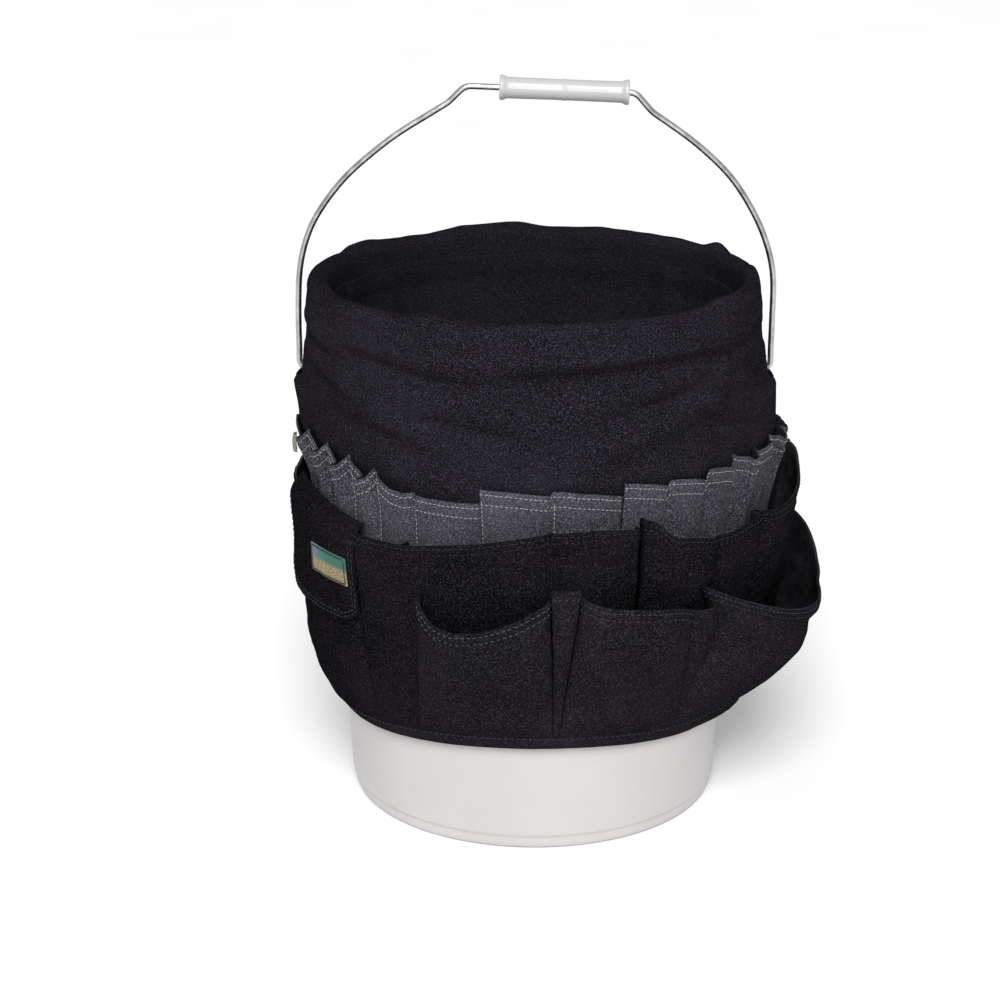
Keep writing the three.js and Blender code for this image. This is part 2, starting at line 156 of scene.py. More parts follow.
def mesh_object(name, points, faces, uv=None, materials=(), face_material=None):
    """An object from points in millimetres and quads or triangles given as index rows."""
    mesh = bpy.data.meshes.new(name)
    mesh.from_pydata((np.asarray(points) * MM).tolist(), [], faces)
    mesh.polygons.foreach_set("use_smooth", np.ones(len(mesh.polygons), bool))
    if face_material is not None:
        mesh.polygons.foreach_set("material_index", np.asarray(face_material, np.int32))
    if uv is not None:
        loops = np.empty(len(mesh.loops), np.int32)
        mesh.loops.foreach_get("vertex_index", loops)
        layer = mesh.uv_layers.new(name="UVMap")
        layer.data.foreach_set("uv", (np.asarray(uv)[loops] * MM).ravel())
    mesh.validate()
    mesh.update()
    piece = bpy.data.objects.new(name, mesh)
    bpy.context.scene.collection.objects.link(piece)
    for material in materials:
        mesh.materials.append(material)
    return piece


def grid_normals(points, closed=False):
    if closed:
        along = np.roll(points, -1, 1) - np.roll(points, 1, 1)
    else:
        along = np.gradient(points, axis=1)
    up = np.gradient(points, axis=0)
    return unit(np.cross(along, up))


def cloth_mesh(name, points, thickness, materials, closed=False):
    """Cloth with rounded edges about a grid of points: rows from its lower to its upper edge,
    columns towards growing angle. The second material, if any, is for the inner face."""
    rows, columns = points.shape[:2]
    thick = np.broadcast_to(np.asarray(thickness, float), (rows, columns))[..., None]
    normal = grid_normals(points, closed)
    up = unit(np.gradient(points, axis=0))

    def lip(row, direction, turn):
        reach = thick[row] / 2 * math.sin(math.radians(turn))
        return points[row] + direction * up[row] * reach, thick[row] * math.cos(math.radians(turn)) / 2

    def lipped(values):
        """Rows with the first and the last one said three times more, for the lips."""
        return np.concatenate([values[:1]] * 3 + [values] + [values[-1:]] * 3)

    def there_and_back(values):
        return np.concatenate([values, values[1:-1][::-1]])

    sections = [lip(0, -1, turn) for turn in (90, 60, 30)]
    sections += list(zip(points, thick / 2))
    sections += [lip(rows - 1, 1, turn) for turn in (30, 60, 90)]
    middles, halves = (np.array(part) for part in zip(*sections))
    normals = lipped(normal)
    count = len(middles)
    outer = middles + normals * halves
    inner = (middles - normals * halves)[1:-1]
    rings = np.concatenate([outer, inner[::-1]])
    total = len(rings)

    width = np.linalg.norm(np.diff(points, axis=1), axis=-1)
    u = lipped(np.concatenate([np.zeros((rows, 1)), np.cumsum(width, 1)], 1))
    height = np.linalg.norm(np.diff(middles, axis=0), axis=-1)
    v = np.concatenate([np.zeros((1, columns)), np.cumsum(height, 0)])
    uv = np.stack([there_and_back(u), there_and_back(v)], -1)

    if closed:  # a seam column, so that the weave does not run backwards across the last face
        step = np.linalg.norm(points[:, :1] - points[:, -1:], axis=-1)
        last = uv[:, -1:].copy()
        last[..., 0] += there_and_back(lipped(step))
        uv = np.concatenate([uv, last], 1)
        rings = np.concatenate([rings, rings[:, :1]], 1)
        columns += 1

    index = np.arange(total * columns).reshape(total, columns)
    after = np.roll(index, -1, 0)
    faces = np.stack([index[:, :-1], index[:, 1:], after[:, 1:], after[:, :-1]], -1)
    is_inner = np.zeros((total, columns - 1), np.int32)
    is_inner[count - 1 :] = 1
    faces, is_inner = faces.reshape(-1, 4), is_inner.ravel()
    if not closed:
        partner = np.concatenate([[0], np.arange(total - 1, count - 1, -1), [count - 1]])
        for column, flip in ((0, False), (columns - 1, True)):
            a, b = index[: count - 1, column], index[1:count, column]
            c, d = index[partner[1:], column], index[partner[:-1], column]
            side = np.stack([a, d, c, b] if flip else [a, b, c, d], -1)
            faces = np.concatenate([faces, side])
            is_inner = np.concatenate([is_inner, np.zeros(len(side), np.int32)])
    faces = [list(dict.fromkeys(f)) for f in faces.tolist()]  # a repeated corner is dropped
    sides = is_inner if len(materials) > 1 else None
    piece = mesh_object(name, rings.reshape(-1, 3), faces, uv.reshape(-1, 2), materials, sides)
    if closed:
        weld(piece)
    return piece


def weld(piece):
    """Joins the first and last columns of a piece that runs all the way round."""
    work = bmesh.new()
    work.from_mesh(piece.data)
    bmesh.ops.remove_doubles(work, verts=work.verts, dist=1e-6)
    work.to_mesh(piece.data)
    work.free()


def wrapped(low, high):
    """Quads between rings of vertices, given as rows of indices."""
    return np.stack([low, np.roll(low, -1, 1), np.roll(high, -1, 1), high], -1).reshape(-1, 4).tolist()


def end_faces(index):
    return [index[0][::-1].tolist(), index[-1].tolist()]


def turned_mesh(name, profile, segments, materials=(), closed_profile=False):
    """A body of revolution about Z from (radius, z) corners, outward side first."""
    angles = np.arange(segments) * 360 / segments
    profile = np.asarray(profile, float)
    points = np.stack([polar(angles, r, z) for r, z in profile])
    count = len(profile)
    index = np.arange(count * segments).reshape(count, segments)
    rows = index if closed_profile else index[:-1]
    above = np.roll(index, -1, 0) if closed_profile else index[1:]
    faces = wrapped(rows, above)
    if not closed_profile:
        faces += end_faces(index)
    return mesh_object(name, points.reshape(-1, 3), faces, None, materials)


def move(piece, places):
    """Puts a piece's vertices at places given in metres."""
    piece.data.vertices.foreach_set("co", places.astype(np.float32).ravel())
    piece.data.update()


def rounded(corners, radius, steps=4):
    """A polyline with each inner corner replaced by a short curve."""
    corners = [np.asarray(c, float) for c in corners]
    out = [corners[0]]
    for before, corner, after in zip(corners, corners[1:], corners[2:]):
        nearest = min(np.linalg.norm(before - corner), np.linalg.norm(after - corner))
        reach = min(radius, nearest / 2.1)
        start = corner + unit(before - corner) * reach
        end = corner + unit(after - corner) * reach
        for k in range(steps + 1):
            t = k / steps
            out.append((1 - t) ** 2 * start + 2 * t * (1 - t) * corner + t * t * end)
    out.append(corners[-1])
    return np.array(out)


# ---------- materials ----------


class Nodes:
    """A small helper for writing a material's nodes."""

    def __init__(self, name):
        self.material = bpy.data.materials.new(name)
        self.material.use_nodes = True
        self.tree = self.material.node_tree
        self.shader = self.tree.nodes["Principled BSDF"]
        self.position = self.add("ShaderNodeTexCoord").outputs["Object"]

    def add(self, kind, **settings):
        node = self.tree.nodes.new(kind)
        inputs = settings.pop("inputs", {})
        for key, value in settings.items():
            setattr(node, key, value)
        for key, value in inputs.items():
            if isinstance(value, bpy.types.NodeSocket):
                self.tree.links.new(value, node.inputs[key])
            else:
                node.inputs[key].default_value = value
        return node

    def math(self, operation, a, b=0.0, c=0.0):
        return self.add("ShaderNodeMath", operation=operation, inputs={0: a, 1: b, 2: c}).outputs[0]

    def times(self, a, b):
        return self.math("MULTIPLY", a, b)

    def scaled(self, a, factor, shift):
        return self.math("MULTIPLY_ADD", a, factor, shift)

    def mask(self, value, low, high):
        """Black where the value is under low, white where it is over high."""
        return self.ramp(value, [(low, (0, 0, 0)), (high, (1, 1, 1))])

    def noise(self, scale, detail=2.0, roughness=0.5):
        inputs = {"Vector": self.position, "Scale": scale, "Detail": detail, "Roughness": roughness}
        return self.add("ShaderNodeTexNoise", inputs=inputs).outputs["Fac"]

    def ramp(self, value, stops):
        node = self.add("ShaderNodeValToRGB", inputs={"Fac": value})
        elements = node.color_ramp.elements
        while len(elements) < len(stops):
            elements.new(0.5)
        for element, (position, colour) in zip(elements, stops):
            element.position = position
            element.color = (*colour, 1)
        return node.outputs["Color"]

    def uv(self):
        """The two coordinates of the cloth, in metres along it and up it."""
        uv = self.add("ShaderNodeUVMap", uv_map="UVMap").outputs["UV"]
        return self.add("ShaderNodeSeparateXYZ", inputs={0: uv}).outputs[:2]

    def mix(self, factor, a, b):
        node = self.add("ShaderNodeMix", data_type="RGBA")
        for socket, value in ((0, factor), (6, a), (7, b)):
            if isinstance(value, bpy.types.NodeSocket):
                self.tree.links.new(value, node.inputs[socket])
            else:
                node.inputs[socket].default_value = value if socket == 0 else (*value, 1)
        return node.outputs[2]

    def bump(self, height, distance, strength=1.0, normal=None):
        inputs = {"Height": height, "Distance": distance, "Strength": strength}
        node = self.add("ShaderNodeBump", inputs=inputs)
        if normal is not None:
            self.tree.links.new(normal, node.inputs["Normal"])
        return node.outputs["Normal"]

    def finish(self, color, roughness, normal=None, **sockets):
        for name, value in (("Base Color", color), ("Roughness", roughness), ("Normal", normal)):
            if isinstance(value, bpy.types.NodeSocket):
                self.tree.links.new(value, self.shader.inputs[name])
            elif value is not None:
                self.shader.inputs[name].default_value = value
        for name, value in sockets.items():
            self.shader.inputs[name.replace("_", " ")].default_value = value
        return self.material


def woven(name, dark, light, pitch, speckle, roughness, sheen=0.0, buckle=0.0):
    """Woven cloth: threads of the given pitch in millimetres, lighter flecks and soft patches. The flecks are
    partly the cloth's own speckle and partly painted glints off its threads.
    The buckle is the depth in metres of broad dents that only show in the shading."""
    n = Nodes(name)
    turns = 2 * math.pi / (pitch * MM)
    warp, weft = (n.math("SINE", n.times(way, turns)) for way in n.uv())
    weave = n.scaled(n.times(warp, weft), 0.5, 0.5)
    # Lighter flecks: partly the cloth's own speckle, partly painted glints off the weave.
    flecks = n.noise(1000 / speckle, 2.0, 0.65)
    threads = n.noise(420, 3.0, 0.6)
    patches = n.noise(16, 3.0, 0.55)
    level = n.scaled(weave, 0.16, n.times(flecks, 0.84))
    middle = tuple(0.88 * d + 0.12 * b for d, b in zip(dark, light))
    color = n.ramp(level, [(0.40, dark), (0.54, middle), (0.72, light)])
    worn = n.mask(patches, 0.42, 0.74)
    color = n.mix(n.times(worn, 0.22), color, tuple(0.5 * b for b in light))
    rough = n.scaled(threads, 0.25, roughness - 0.12)
    height = n.scaled(weave, 0.6, n.times(flecks, 0.7))
    fine = n.bump(height, 0.00022, 0.9)
    normal = n.bump(n.noise(90, 4.0, 0.6), 0.0009, 0.35, fine)
    if buckle:
        normal = n.bump(n.noise(19, 2.5, 0.5), buckle, 1.0, normal)
    return n.finish(color, rough, normal, Sheen_Weight=sheen, Sheen_Roughness=0.45, Specular_IOR_Level=0.0)


def woven_label(name):
    """A small woven label: a violet to green band over a tan one."""
    n = Nodes(name)
    along, up = n.uv()
    across = n.times(along, 1 / 0.024)
    height = n.times(up, 1 / 0.022)
    flecks = n.noise(1100, 2.0, 0.6)
    violet, teal, green = (0.20, 0.17, 0.30), (0.06, 0.20, 0.19), (0.04, 0.16, 0.12)
    upper = n.ramp(across, [(0.1, violet), (0.5, teal), (0.9, green)])
    lower = n.ramp(flecks, [(0.4, (0.16, 0.12, 0.06)), (0.62, (0.46, 0.40, 0.24))])
    seam = n.scaled(flecks, 0.12, n.math("SUBTRACT", height, 0.06))
    split = n.mask(seam, 0.44, 0.56)
    color = n.mix(split, lower, upper)
    color = n.mix(n.times(flecks, 0.5), color, (0.02, 0.02, 0.02))
    return n.finish(color, 0.6, n.bump(flecks, 0.0002, 0.8), Specular_IOR_Level=0.15)


def hook_tape(name):
    """A pile of tiny plastic hooks."""
    n = Nodes(name)
    hooks = n.add("ShaderNodeTexVoronoi", inputs={"Vector": n.position, "Scale": 900.0}).outputs["Distance"]
    color = n.ramp(hooks, [(0.1, (0.05, 0.05, 0.055)), (0.6, (0.006, 0.006, 0.007))])
    rough = n.scaled(hooks, 0.3, 0.4)
    return n.finish(color, rough, n.bump(hooks, 0.0006, 0.9))


def coated(name):
    """The coated back of the pocket cloth: smooth, creased, with a dull gleam."""
    n = Nodes(name)
    crease = n.noise(60, 6.0, 0.7)
    fine = n.noise(700, 2.0, 0.5)
    color = n.ramp(crease, [(0.35, (0.004, 0.004, 0.005)), (0.75, (0.020, 0.020, 0.024))])
    rough = n.scaled(fine, 0.3, 0.32)
    normal = n.bump(crease, 0.0025, 0.6, n.bump(fine, 0.0002, 0.5))
    return n.finish(color, rough, normal, Specular_IOR_Level=0.25)


def plastic(name, color, shade, roughness, subsurface=0.15):
    """Moulded plastic: faint mottling, scuffs and a slight orange-peel surface."""
    n = Nodes(name)
    mottle = n.noise(9, 4.0, 0.6)
    scuff = n.noise(140, 6.0, 0.75)
    base = n.ramp(mottle, [(0.3, shade), (0.7, color)])
    marks = n.mask(scuff, 0.62, 0.80)
    base = n.mix(n.times(marks, 0.25), base, tuple(0.8 * s for s in shade))
    rough = n.scaled(scuff, 0.22, roughness - 0.11)
    normal = n.bump(n.noise(260, 2.0, 0.5), 0.0004, 0.12)
    n.shader.inputs["Subsurface Radius"].default_value = (0.004, 0.0035, 0.003)
    return n.finish(base, rough, normal, Subsurface_Weight=subsurface, Subsurface_Scale=1.0)


def galvanised(name):
    """Zinc-coated wire, with faint spangle and drawing marks."""
    n = Nodes(name)
    drawn = n.noise(900, 3.0, 0.6)
    spangle = n.noise(120, 4.0, 0.6)
    color = n.ramp(spangle, [(0.3, (0.33, 0.33, 0.34)), (0.7, (0.62, 0.62, 0.64))])
    rough = n.scaled(spangle, 0.3, 0.16)
    return n.finish(color, rough, n.bump(drawn, 0.0002, 0.35), Metallic=1.0)


def thread(name, color):
    n = Nodes(name)
    strands = n.noise(2600, 2.0, 0.6)
    shade = tuple(0.62 * c for c in color)
    base = n.ramp(strands, [(0.35, shade), (0.65, color)])
    return n.finish(base, n.scaled(strands, 0.2, 0.55), n.bump(strands, 0.0002, 0.6))


BLACK = woven("black_canvas", (0.0030, 0.0027, 0.0034), (0.064, 0.058, 0.077), 1.1, 0.85, 0.7, 0, 0.006)
# The large pockets' and gussets' cloth: a lighter copy of the black canvas, painted light on the front tier,
# which stands out towards the lamps.
FRONT_PAINTED_LIGHT = woven("black_front_cloth_painted_light", (0.0044, 0.0040, 0.0048), (0.053, 0.048, 0.057), 1.1, 1.2, 0.7, 0, 0.009)
# The middle pockets' and the flap's cloth: a darker copy of the black canvas, painted shade on the middle
# tier, which lies back in shadow.
MIDDLE_PAINTED_SHADE = woven("black_middle_cloth_painted_shade", (0.0014, 0.0012, 0.0016), (0.039, 0.035, 0.043), 1.1, 1.1, 0.7, 0, 0.007)
# The lining's cloth, also laid on the cuff's inward faces as painted shade on the inner side of the rim.
LINING_AND_PAINTED_SHADE = woven("black_lining_and_painted_shade", (0.0060, 0.0055, 0.0066), (0.048, 0.044, 0.054), 1.1, 0.85, 0.8)
GRAY = woven("gray_denim", (0.012, 0.012, 0.016), (0.235, 0.230, 0.268), 1.0, 0.95, 0.85, 0.03)
TAPE = woven("black_tape", (0.0040, 0.0036, 0.0043), (0.056, 0.050, 0.060), 1.6, 0.85, 0.65)
TAB = woven("gray_tape", (0.16, 0.15, 0.13), (0.40, 0.37, 0.33), 0.9, 1.1, 0.8, 0.1)
LABEL_EDGE = woven("label_border", (0.03, 0.03, 0.03), (0.16, 0.15, 0.13), 0.6, 0.9, 0.6)
LABEL = woven_label("label_cloth")
HOOKS = hook_tape("hook_tape")
COATED = coated("coated_back")
PAIL = plastic("pail_plastic", (0.50, 0.485, 0.485), (0.45, 0.435, 0.43), 0.42, 0.06)
GRIP = plastic("grip_plastic", (0.46, 0.45, 0.46), (0.42, 0.41, 0.42), 0.30, 0.06)
STEEL = galvanised("bail_steel")
WHITE_THREAD = thread("white_thread", (0.40, 0.40, 0.41))
BLACK_THREAD = thread("black_thread", (0.013, 0.012, 0.015))
DARK_THREAD = thread("dark_gray_thread", (0.034, 0.032, 0.038))
# The front left pocket's mouth is sewn with a lighter thread, which partly stands for a painted highlight
# along that forward lip.
LIP_THREAD_AND_HIGHLIGHT = thread("lip_thread_and_painted_highlight", (0.085, 0.083, 0.090))


# ---------- the jacket's layers ----------

# The skirt's radius at some heights, and how far it bulges out at each side.
SKIRT_Z = [70, 82, 96, BELLY, GRAY_BOTTOM, LAYER_FULL, MIDDLE_TOP, GRAY_TOP]
SKIRT_Z += [SHELF_BOTTOM, SHELF_TOP, SKIRT_TOP]
SKIRT_LEFT = [136.6, 145.5, 150, 152.5, 151.5, 147.5, 148, 153, 158, 158.2, 156]
SKIRT_REST = [136.8, 140.5, 144, 148.5, 150, 151.5, 154, 156.5, 158.2, 158.2, 156]
BULGE_LEFT = [0, 0, 2, 3.5, 2.5, 0, 3, 9, 8.6, 2, 0]
BULGE_RIGHT = [13, 17, 17, 13, 11, 6, 8, 11, 8, 2, -1.5]


def skirt_radius(a, z):
    left, rest = np.interp(z, SKIRT_Z, SKIRT_LEFT), np.interp(z, SKIRT_Z, SKIRT_REST)
    bulge = np.interp(z, SKIRT_Z, BULGE_LEFT) * bump(a, -90, 26)
    bulge = bulge + np.interp(z, SKIRT_Z, BULGE_RIGHT) * bump(a, 88, 36)
    return rest + (left - rest) * bump(a, -70, 60) + bulge


def hem_z(a):
    return 81 - 9 * bump(a, -75, 75) - 12 * bump(a, 72, 70) - 5 * bump(a, 180, 80)


def front_bottom(a):
    return hem_z(a) + HEM_HEIGHT + 1


def middle_bottom(a):
    return hem_z(a) + HEM_HEIGHT + 9


def gray_depth(a):
    return 7.6 + 0 * a


def middle_depth(a):
    return 11.5 - 4 * bump(a, -36, 30) - 6 * bump(a, -88, 34) + 2 * bump(a, 78, 40)


def front_depth(a):
    return 19 + 12 * bump(a, 66, 34)


def flap_pocket_depth(a):
    return 6.5 + 0 * a


def gray_base(a, z):
    return skirt_radius(a, z) + 1.25


def middle_base(a, z):
    flat = 2 * ramp(z, BELLY, GRAY_BOTTOM)
    return gray_base(a, z) + flat + gray_depth(a) * ramp(z, GRAY_BOTTOM, LAYER_FULL)


def front_base(a, z):
    flat = 2 * ramp(z, front_bottom(a), middle_bottom(a))
    return middle_base(a, z) + flat + middle_depth(a) * ramp(z, middle_bottom(a), LAYER_FULL)


def crumple(a, z, seed, amount=0.35):
    """Small dents and creases in cloth."""
    small = noise(around(a, 110), z / 8, seed, 110) + 0.6 * noise(around(a, 210), z / 4.5, seed + 1, 210)
    crease = 1 - np.abs(noise(around(a, 40), z / 22, seed + 2, 40)) * 2
    return amount * small + amount * 1.6 * np.clip(crease, 0, 1) ** 6


def place(piece, node=None, body="bucket"):
    """Hands a piece over: the CAD node it stands for, if any and its body."""
    if node:
        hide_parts(node)
    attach(piece, body)


def close_ring(points):
    return np.concatenate([points, points[:, :1]], 1)


def stitch_row(path, normals, length=2.6, gap=1.5, radius=0.33, lift=0.05):
    """Points and faces of stitches laid end to end along a path on a surface."""
    run = run_along(path)
    centres = np.arange(length / 2 + 0.3, run[-1] - length / 2, length + gap)
    middle, up = picked(path, run, centres), unit(picked(normals, run, centres))
    along = unit(picked(path, run, centres + 0.5) - picked(path, run, centres - 0.5))
    across = unit(np.cross(up, along))
    sides = np.radians([0, 60, 120, 180, 240, 300])
    points = []
    for t, size, rise in ((-0.5, 0.35, -0.5), (-0.28, 0.95, 0.35), (0.28, 0.95, 0.35), (0.5, 0.35, -0.5)):
        ring = middle + along * (t * length) + up * (lift + rise * radius)
        spokes = [ring + (across * math.cos(s) + up * math.sin(s)) * radius * size for s in sides]
        points.append(np.stack(spokes, 1))
    points = np.stack(points, 1)
    faces = []
    for k in range(len(centres)):
        base = k * 24
        for ring in range(3):
            for s in range(6):
                a, b = base + ring * 6 + s, base + ring * 6 + (s + 1) % 6
                faces.append([a, b, b + 6, a + 6])
        faces.append([base + s for s in range(5, -1, -1)])
        faces.append([base + 18 + s for s in range(6)])
    return points.reshape(-1, 3), faces


class Stitching:
    """Gathers rows of stitches into one piece."""

    def __init__(self, name, material, slot, body="bucket"):
        self.name, self.material, self.slot, self.body = name, material, slot, body
        self.points, self.faces, self.count = [], [], 0

    def row(self, path, normals, **settings):
        points, faces = stitch_row(path, normals, **settings)
        self.faces += [[i + self.count for i in f] for f in faces]
        self.points.append(points)
        self.count += len(points)

    def at_depth(self, points, depth, thickness, **settings):
        """Stitches that follow a cloth's upper edge, so many millimetres below it."""
        fallen = points[::-1].swapaxes(0, 1)
        leaning = grid_normals(points)[::-1].swapaxes(0, 1)
        drops = [run_along(column) for column in fallen]
        path = np.array([picked(column, drop, depth) for column, drop in zip(fallen, drops)])
        normals = unit(np.array([picked(column, drop, depth) for column, drop in zip(leaning, drops)]))
        self.row(path + normals * thickness / 2, normals, **settings)

    def down_column(self, points, column, **settings):
        normal = grid_normals(points)[:, column]
        path = points[:, column] + normal * CLOTH / 2
        self.row(path[::-1], normal[::-1], **settings)

    def build(self):
        piece = mesh_object(self.name, np.concatenate(self.points), self.faces, None, [self.material])
        place(piece, None, self.body)


WHITE_STITCHES = Stitching("gray_pocket_stitching", WHITE_THREAD, "gray_denim")
BLACK_STITCHES = Stitching("jacket_stitching", BLACK_THREAD, "black_tape")
POCKET_STITCHES = Stitching("large_pocket_stitching", DARK_THREAD, "black_tape")
LIP_STITCHES_AND_HIGHLIGHT = Stitching("front_lip_stitching_and_painted_highlight", LIP_THREAD_AND_HIGHLIGHT, "black_tape")
FINE = {"length": 2.3, "gap": 0.9, "radius": 0.24}


# ---------- pail ----------


def make_pail():
    base_r, top_r, foot_r, foot_h = 131.5, 146.5, 129.5, 10
    wall, rim_bottom = 2.2, PAIL_HEIGHT - 17

    def radius(z):
        return base_r + (top_r - base_r) * ramp(z, foot_h + 2, rim_bottom)

    corners = [(0, 0), (foot_r - 6, 0), (foot_r - 1.2, 0.8), (foot_r, 4), (foot_r + 0.2, foot_h - 1.2)]
    corners += [(base_r - 0.3, foot_h + 0.6), (base_r, foot_h + 3)]
    for z in (284, 326):  # two ribs
        low, high = z - 1.3, z + 1.3
        corners += [(radius(low), low), (150.3, low), (150.3, high), (radius(high), high)]
    corners += [(top_r, rim_bottom), (RIM_R, rim_bottom), (RIM_R, PAIL_HEIGHT - 1), (RIM_R - 1, PAIL_HEIGHT)]
    corners += [(top_r - 1, PAIL_HEIGHT), (top_r - wall, PAIL_HEIGHT - 2), (top_r - wall, rim_bottom)]
    corners += [(base_r - wall, 12), (base_r - wall - 1, 5), (base_r - wall - 7, 3), (0, 3)]
    profile = rounded(corners, 1.2, 3)
    profile[0][0] = profile[-1][0] = 0.2
    pail = turned_mesh("pail_body", profile, 192, [PAIL])
    place(pail, "pail")
    ear = [(2.6, 142.5), (10, 142.5), (9.6, 145), (8.6, 152.6), (7.6, 153.6), (2.6, 153.6), (2.6, 142.5)]
    ear = rounded(ear, 0.7, 3)
    for side, name in ((-1, "left"), (1, "right")):
        piece = turned_mesh(f"ear_{name}", ear[::-1][:-1], 40, [PAIL], closed_profile=True)
        co = np.array([v.co for v in piece.data.vertices])
        move(piece, np.stack([side * co[:, 2], co[:, 1] * side, HINGE_Z * MM - co[:, 0]], -1))
        place(piece)


# ---------- bail and grip ----------

FLAT_LEFT, FLAT_RIGHT = np.array([-47.6, 500.3]), np.array([67, 496])
FLAT_MIDDLE = (FLAT_LEFT[0] + FLAT_RIGHT[0]) / 2


def tube_mesh(name, path, radius, sides, materials):
    """A round bar along a path in a plane of constant y."""
    tangent = unit(np.gradient(path, axis=0))
    binormal = np.array([0.0, 1.0, 0.0])
    normal = unit(np.cross(tangent, binormal))
    turn = np.radians(np.arange(sides) * 360 / sides)
    ends = np.array([0.55] + [1.0] * (len(path) - 2) + [0.55])[:, None, None] * radius
    points = path[:, None] + ends * (
        normal[:, None] * np.cos(turn)[None, :, None] + binormal * np.sin(turn)[None, :, None]
    )
    index = np.arange(len(path) * sides).reshape(-1, sides)
    faces = wrapped(index[:-1], index[1:]) + end_faces(index)
    return mesh_object(name, points.reshape(-1, 3), faces, None, materials)


def make_bail():
    half = 163.4
    corners = [(-148, HINGE_Z), (-half, HINGE_Z), (-half, 345), (-162, 379), (-153, 408), (-130, 439)]
    corners += [(-96, 467), (-59.5, 488.5), FLAT_LEFT, FLAT_RIGHT, (78.5, 482.5), (106, 464.5)]
    corners += [(134, 439), (154, 406), (164, 375), (half, 345), (half, HINGE_Z), (148, HINGE_Z)]
    soft = rounded(corners, 4.5, 6)
    for _ in range(2):  # the long bends are gentler than the two beside the grip
        keep = np.abs(soft[:, 1] - HINGE_Z) < 12
        keep |= (np.abs(soft[:, 1] - 498) < 5.5) & (np.abs(soft[:, 0]) < 72)
        eased = soft.copy()
        eased[1:-1] = 0.25 * soft[:-2] + 0.5 * soft[1:-1] + 0.25 * soft[2:]
        soft = np.where(keep[:, None], soft, eased)
    path = np.stack([soft[:, 0], 0 * soft[:, 0], soft[:, 1]], -1)
    run = run_along(path)
    path = picked(path, run, np.arange(0, run[-1], 1.6))
    kernel = np.hanning(37) / np.hanning(37).sum()
    bowed = np.stack([np.convolve(path[:, k], kernel, "same") for k in range(3)], -1)
    arch = smooth(np.abs(path[:, 0] - FLAT_MIDDLE), 64, 92) * smooth(path[:, 2], 314, 338)
    path = path + (bowed - path) * arch[:, None]
    bail = tube_mesh("bail", path, 2.1, 16, [STEEL])
    place(bail, "bail_wire", "bail")


def make_grip():
    half = 43.5
    end = [(4.2, 0), (7.9, 0), (8.5, 0.8), (8.4, 2.6), (7.2, 5), (7.1, 14)]  # a bead, from the end inwards
    corners = [(r, -half + z) for r, z in end]
    corners += [(7.0, -1.2), (7.25, -0.5), (7.25, 0.5), (7.0, 1.2)]  # the mould's mark round the middle
    corners += [(r, half - z) for r, z in end[::-1]] + [(4.2, -half)]
    profile = rounded(corners, 0.8, 3)[:-1]
    grip = turned_mesh("grip", profile, 56, [GRIP], closed_profile=True)
    along = unit(FLAT_RIGHT - FLAT_LEFT)
    centre = FLAT_RIGHT - along * (4.5 + half)
    co = np.array([v.co for v in grip.data.vertices]) / MM
    # A mould's parting line, down both sides of the tube.
    radius = np.hypot(co[:, 0], co[:, 1])
    seam = bell(co[:, 0], 0, 0.5) * (radius > 6) * 0.18
    co[:, 1] += np.sign(co[:, 1]) * seam
    x = along[0] * co[:, 2] + along[1] * co[:, 0] * -1
    z = along[1] * co[:, 2] + along[0] * co[:, 0]
    move(grip, np.stack([centre[0] + x, co[:, 1], centre[1] + z], -1) * MM)
    place(grip, "bail_grip", "grip")


# ---------- skirt, collar and liner ----------

RING = np.arange(RING_STEPS) * 360 / RING_STEPS


# Creases of the upper skirt: from (angle, height) to (angle, height), then depth and half width.
CREASES = [
    (-10, 337, 58, 343, 6.0, 5.5),
    (48, 336, 12, 300, 6.0, 6.5),
    (60, 330, 80, 308, 4.4, 5.5),
    (30, 318, 58, 290, 4.0, 6.5),
    (-82, 350, -50, 332, 4.0, 5.5),
    (-80, 328, -48, 304, 5.0, 6.0),
    (-52, 339, -10, 336, 4.0, 5.5),
    (-62, 306, -28, 284, 3.6, 6.5),
    (-36, 314, 2, 290, 3.2, 7.0),
    (66, 350, 82, 328, 2.2, 4.5),
    (104, 346, 130, 322, 2.8, 5.0),
    (110, 318, 150, 294, 2.6, 6.0),
    (140, 338, 178, 330, 3.0, 5.5),
    (168, 318, 196, 288, 2.6, 5.0),
    (190, 340, 224, 322, 3.0, 5.5),
    (214, 312, 246, 290, 2.6, 5.0),
    (236, 344, 258, 320, 2.6, 5.0),
    (130, 296, 160, 280, 2.0, 4.5),
]


def crease(a, z, start_a, start_z, end_a, end_z, depth, width):
    """A valley along a line on the skirt with a softer ridge above it."""
    scale = math.radians(1) * 156  # millimetres of cloth in a degree
    along = np.array([(end_a - start_a) * scale, end_z - start_z])
    length = math.hypot(*along)
    along = along / length
    x = ((a - start_a + 180) % 360 - 180) * scale
    y = z - start_z
    run = (x * along[0] + y * along[1]) / length
    side = y * along[0] - x * along[1]
    side = side + 3.5 * np.sin(run * 4 + start_a)
    ends = smooth(run, -0.15, 0.25) * (1 - smooth(run, 0.7, 1.2))
    return depth * ends * (0.75 * bell(side, 1.9 * width, 1.6 * width) - bell(side, 0, width))


def skirt_folds(a, z):
    """Soft folds of the upper skirt, fading out below the gray strip."""
    upper = smooth(z, 250, 275)
    away = 1 - 0.8 * (bump(a, 90, 18) + bump(a, -90, 18))
    slanted = noise(around(a, 18) + z / 55, z / 30, 12, 18)
    broad = noise(around(a, 9), z / 34, 11, 9)
    total = 2.3 * slanted + 2.4 * broad + 0.8 * bell(z, 350, 11)
    for line in CREASES:
        total = total + crease(a, z, *line)
    return upper * away * total + smooth(z, 235, 260) * crumple(a, z, 20, 0.16)


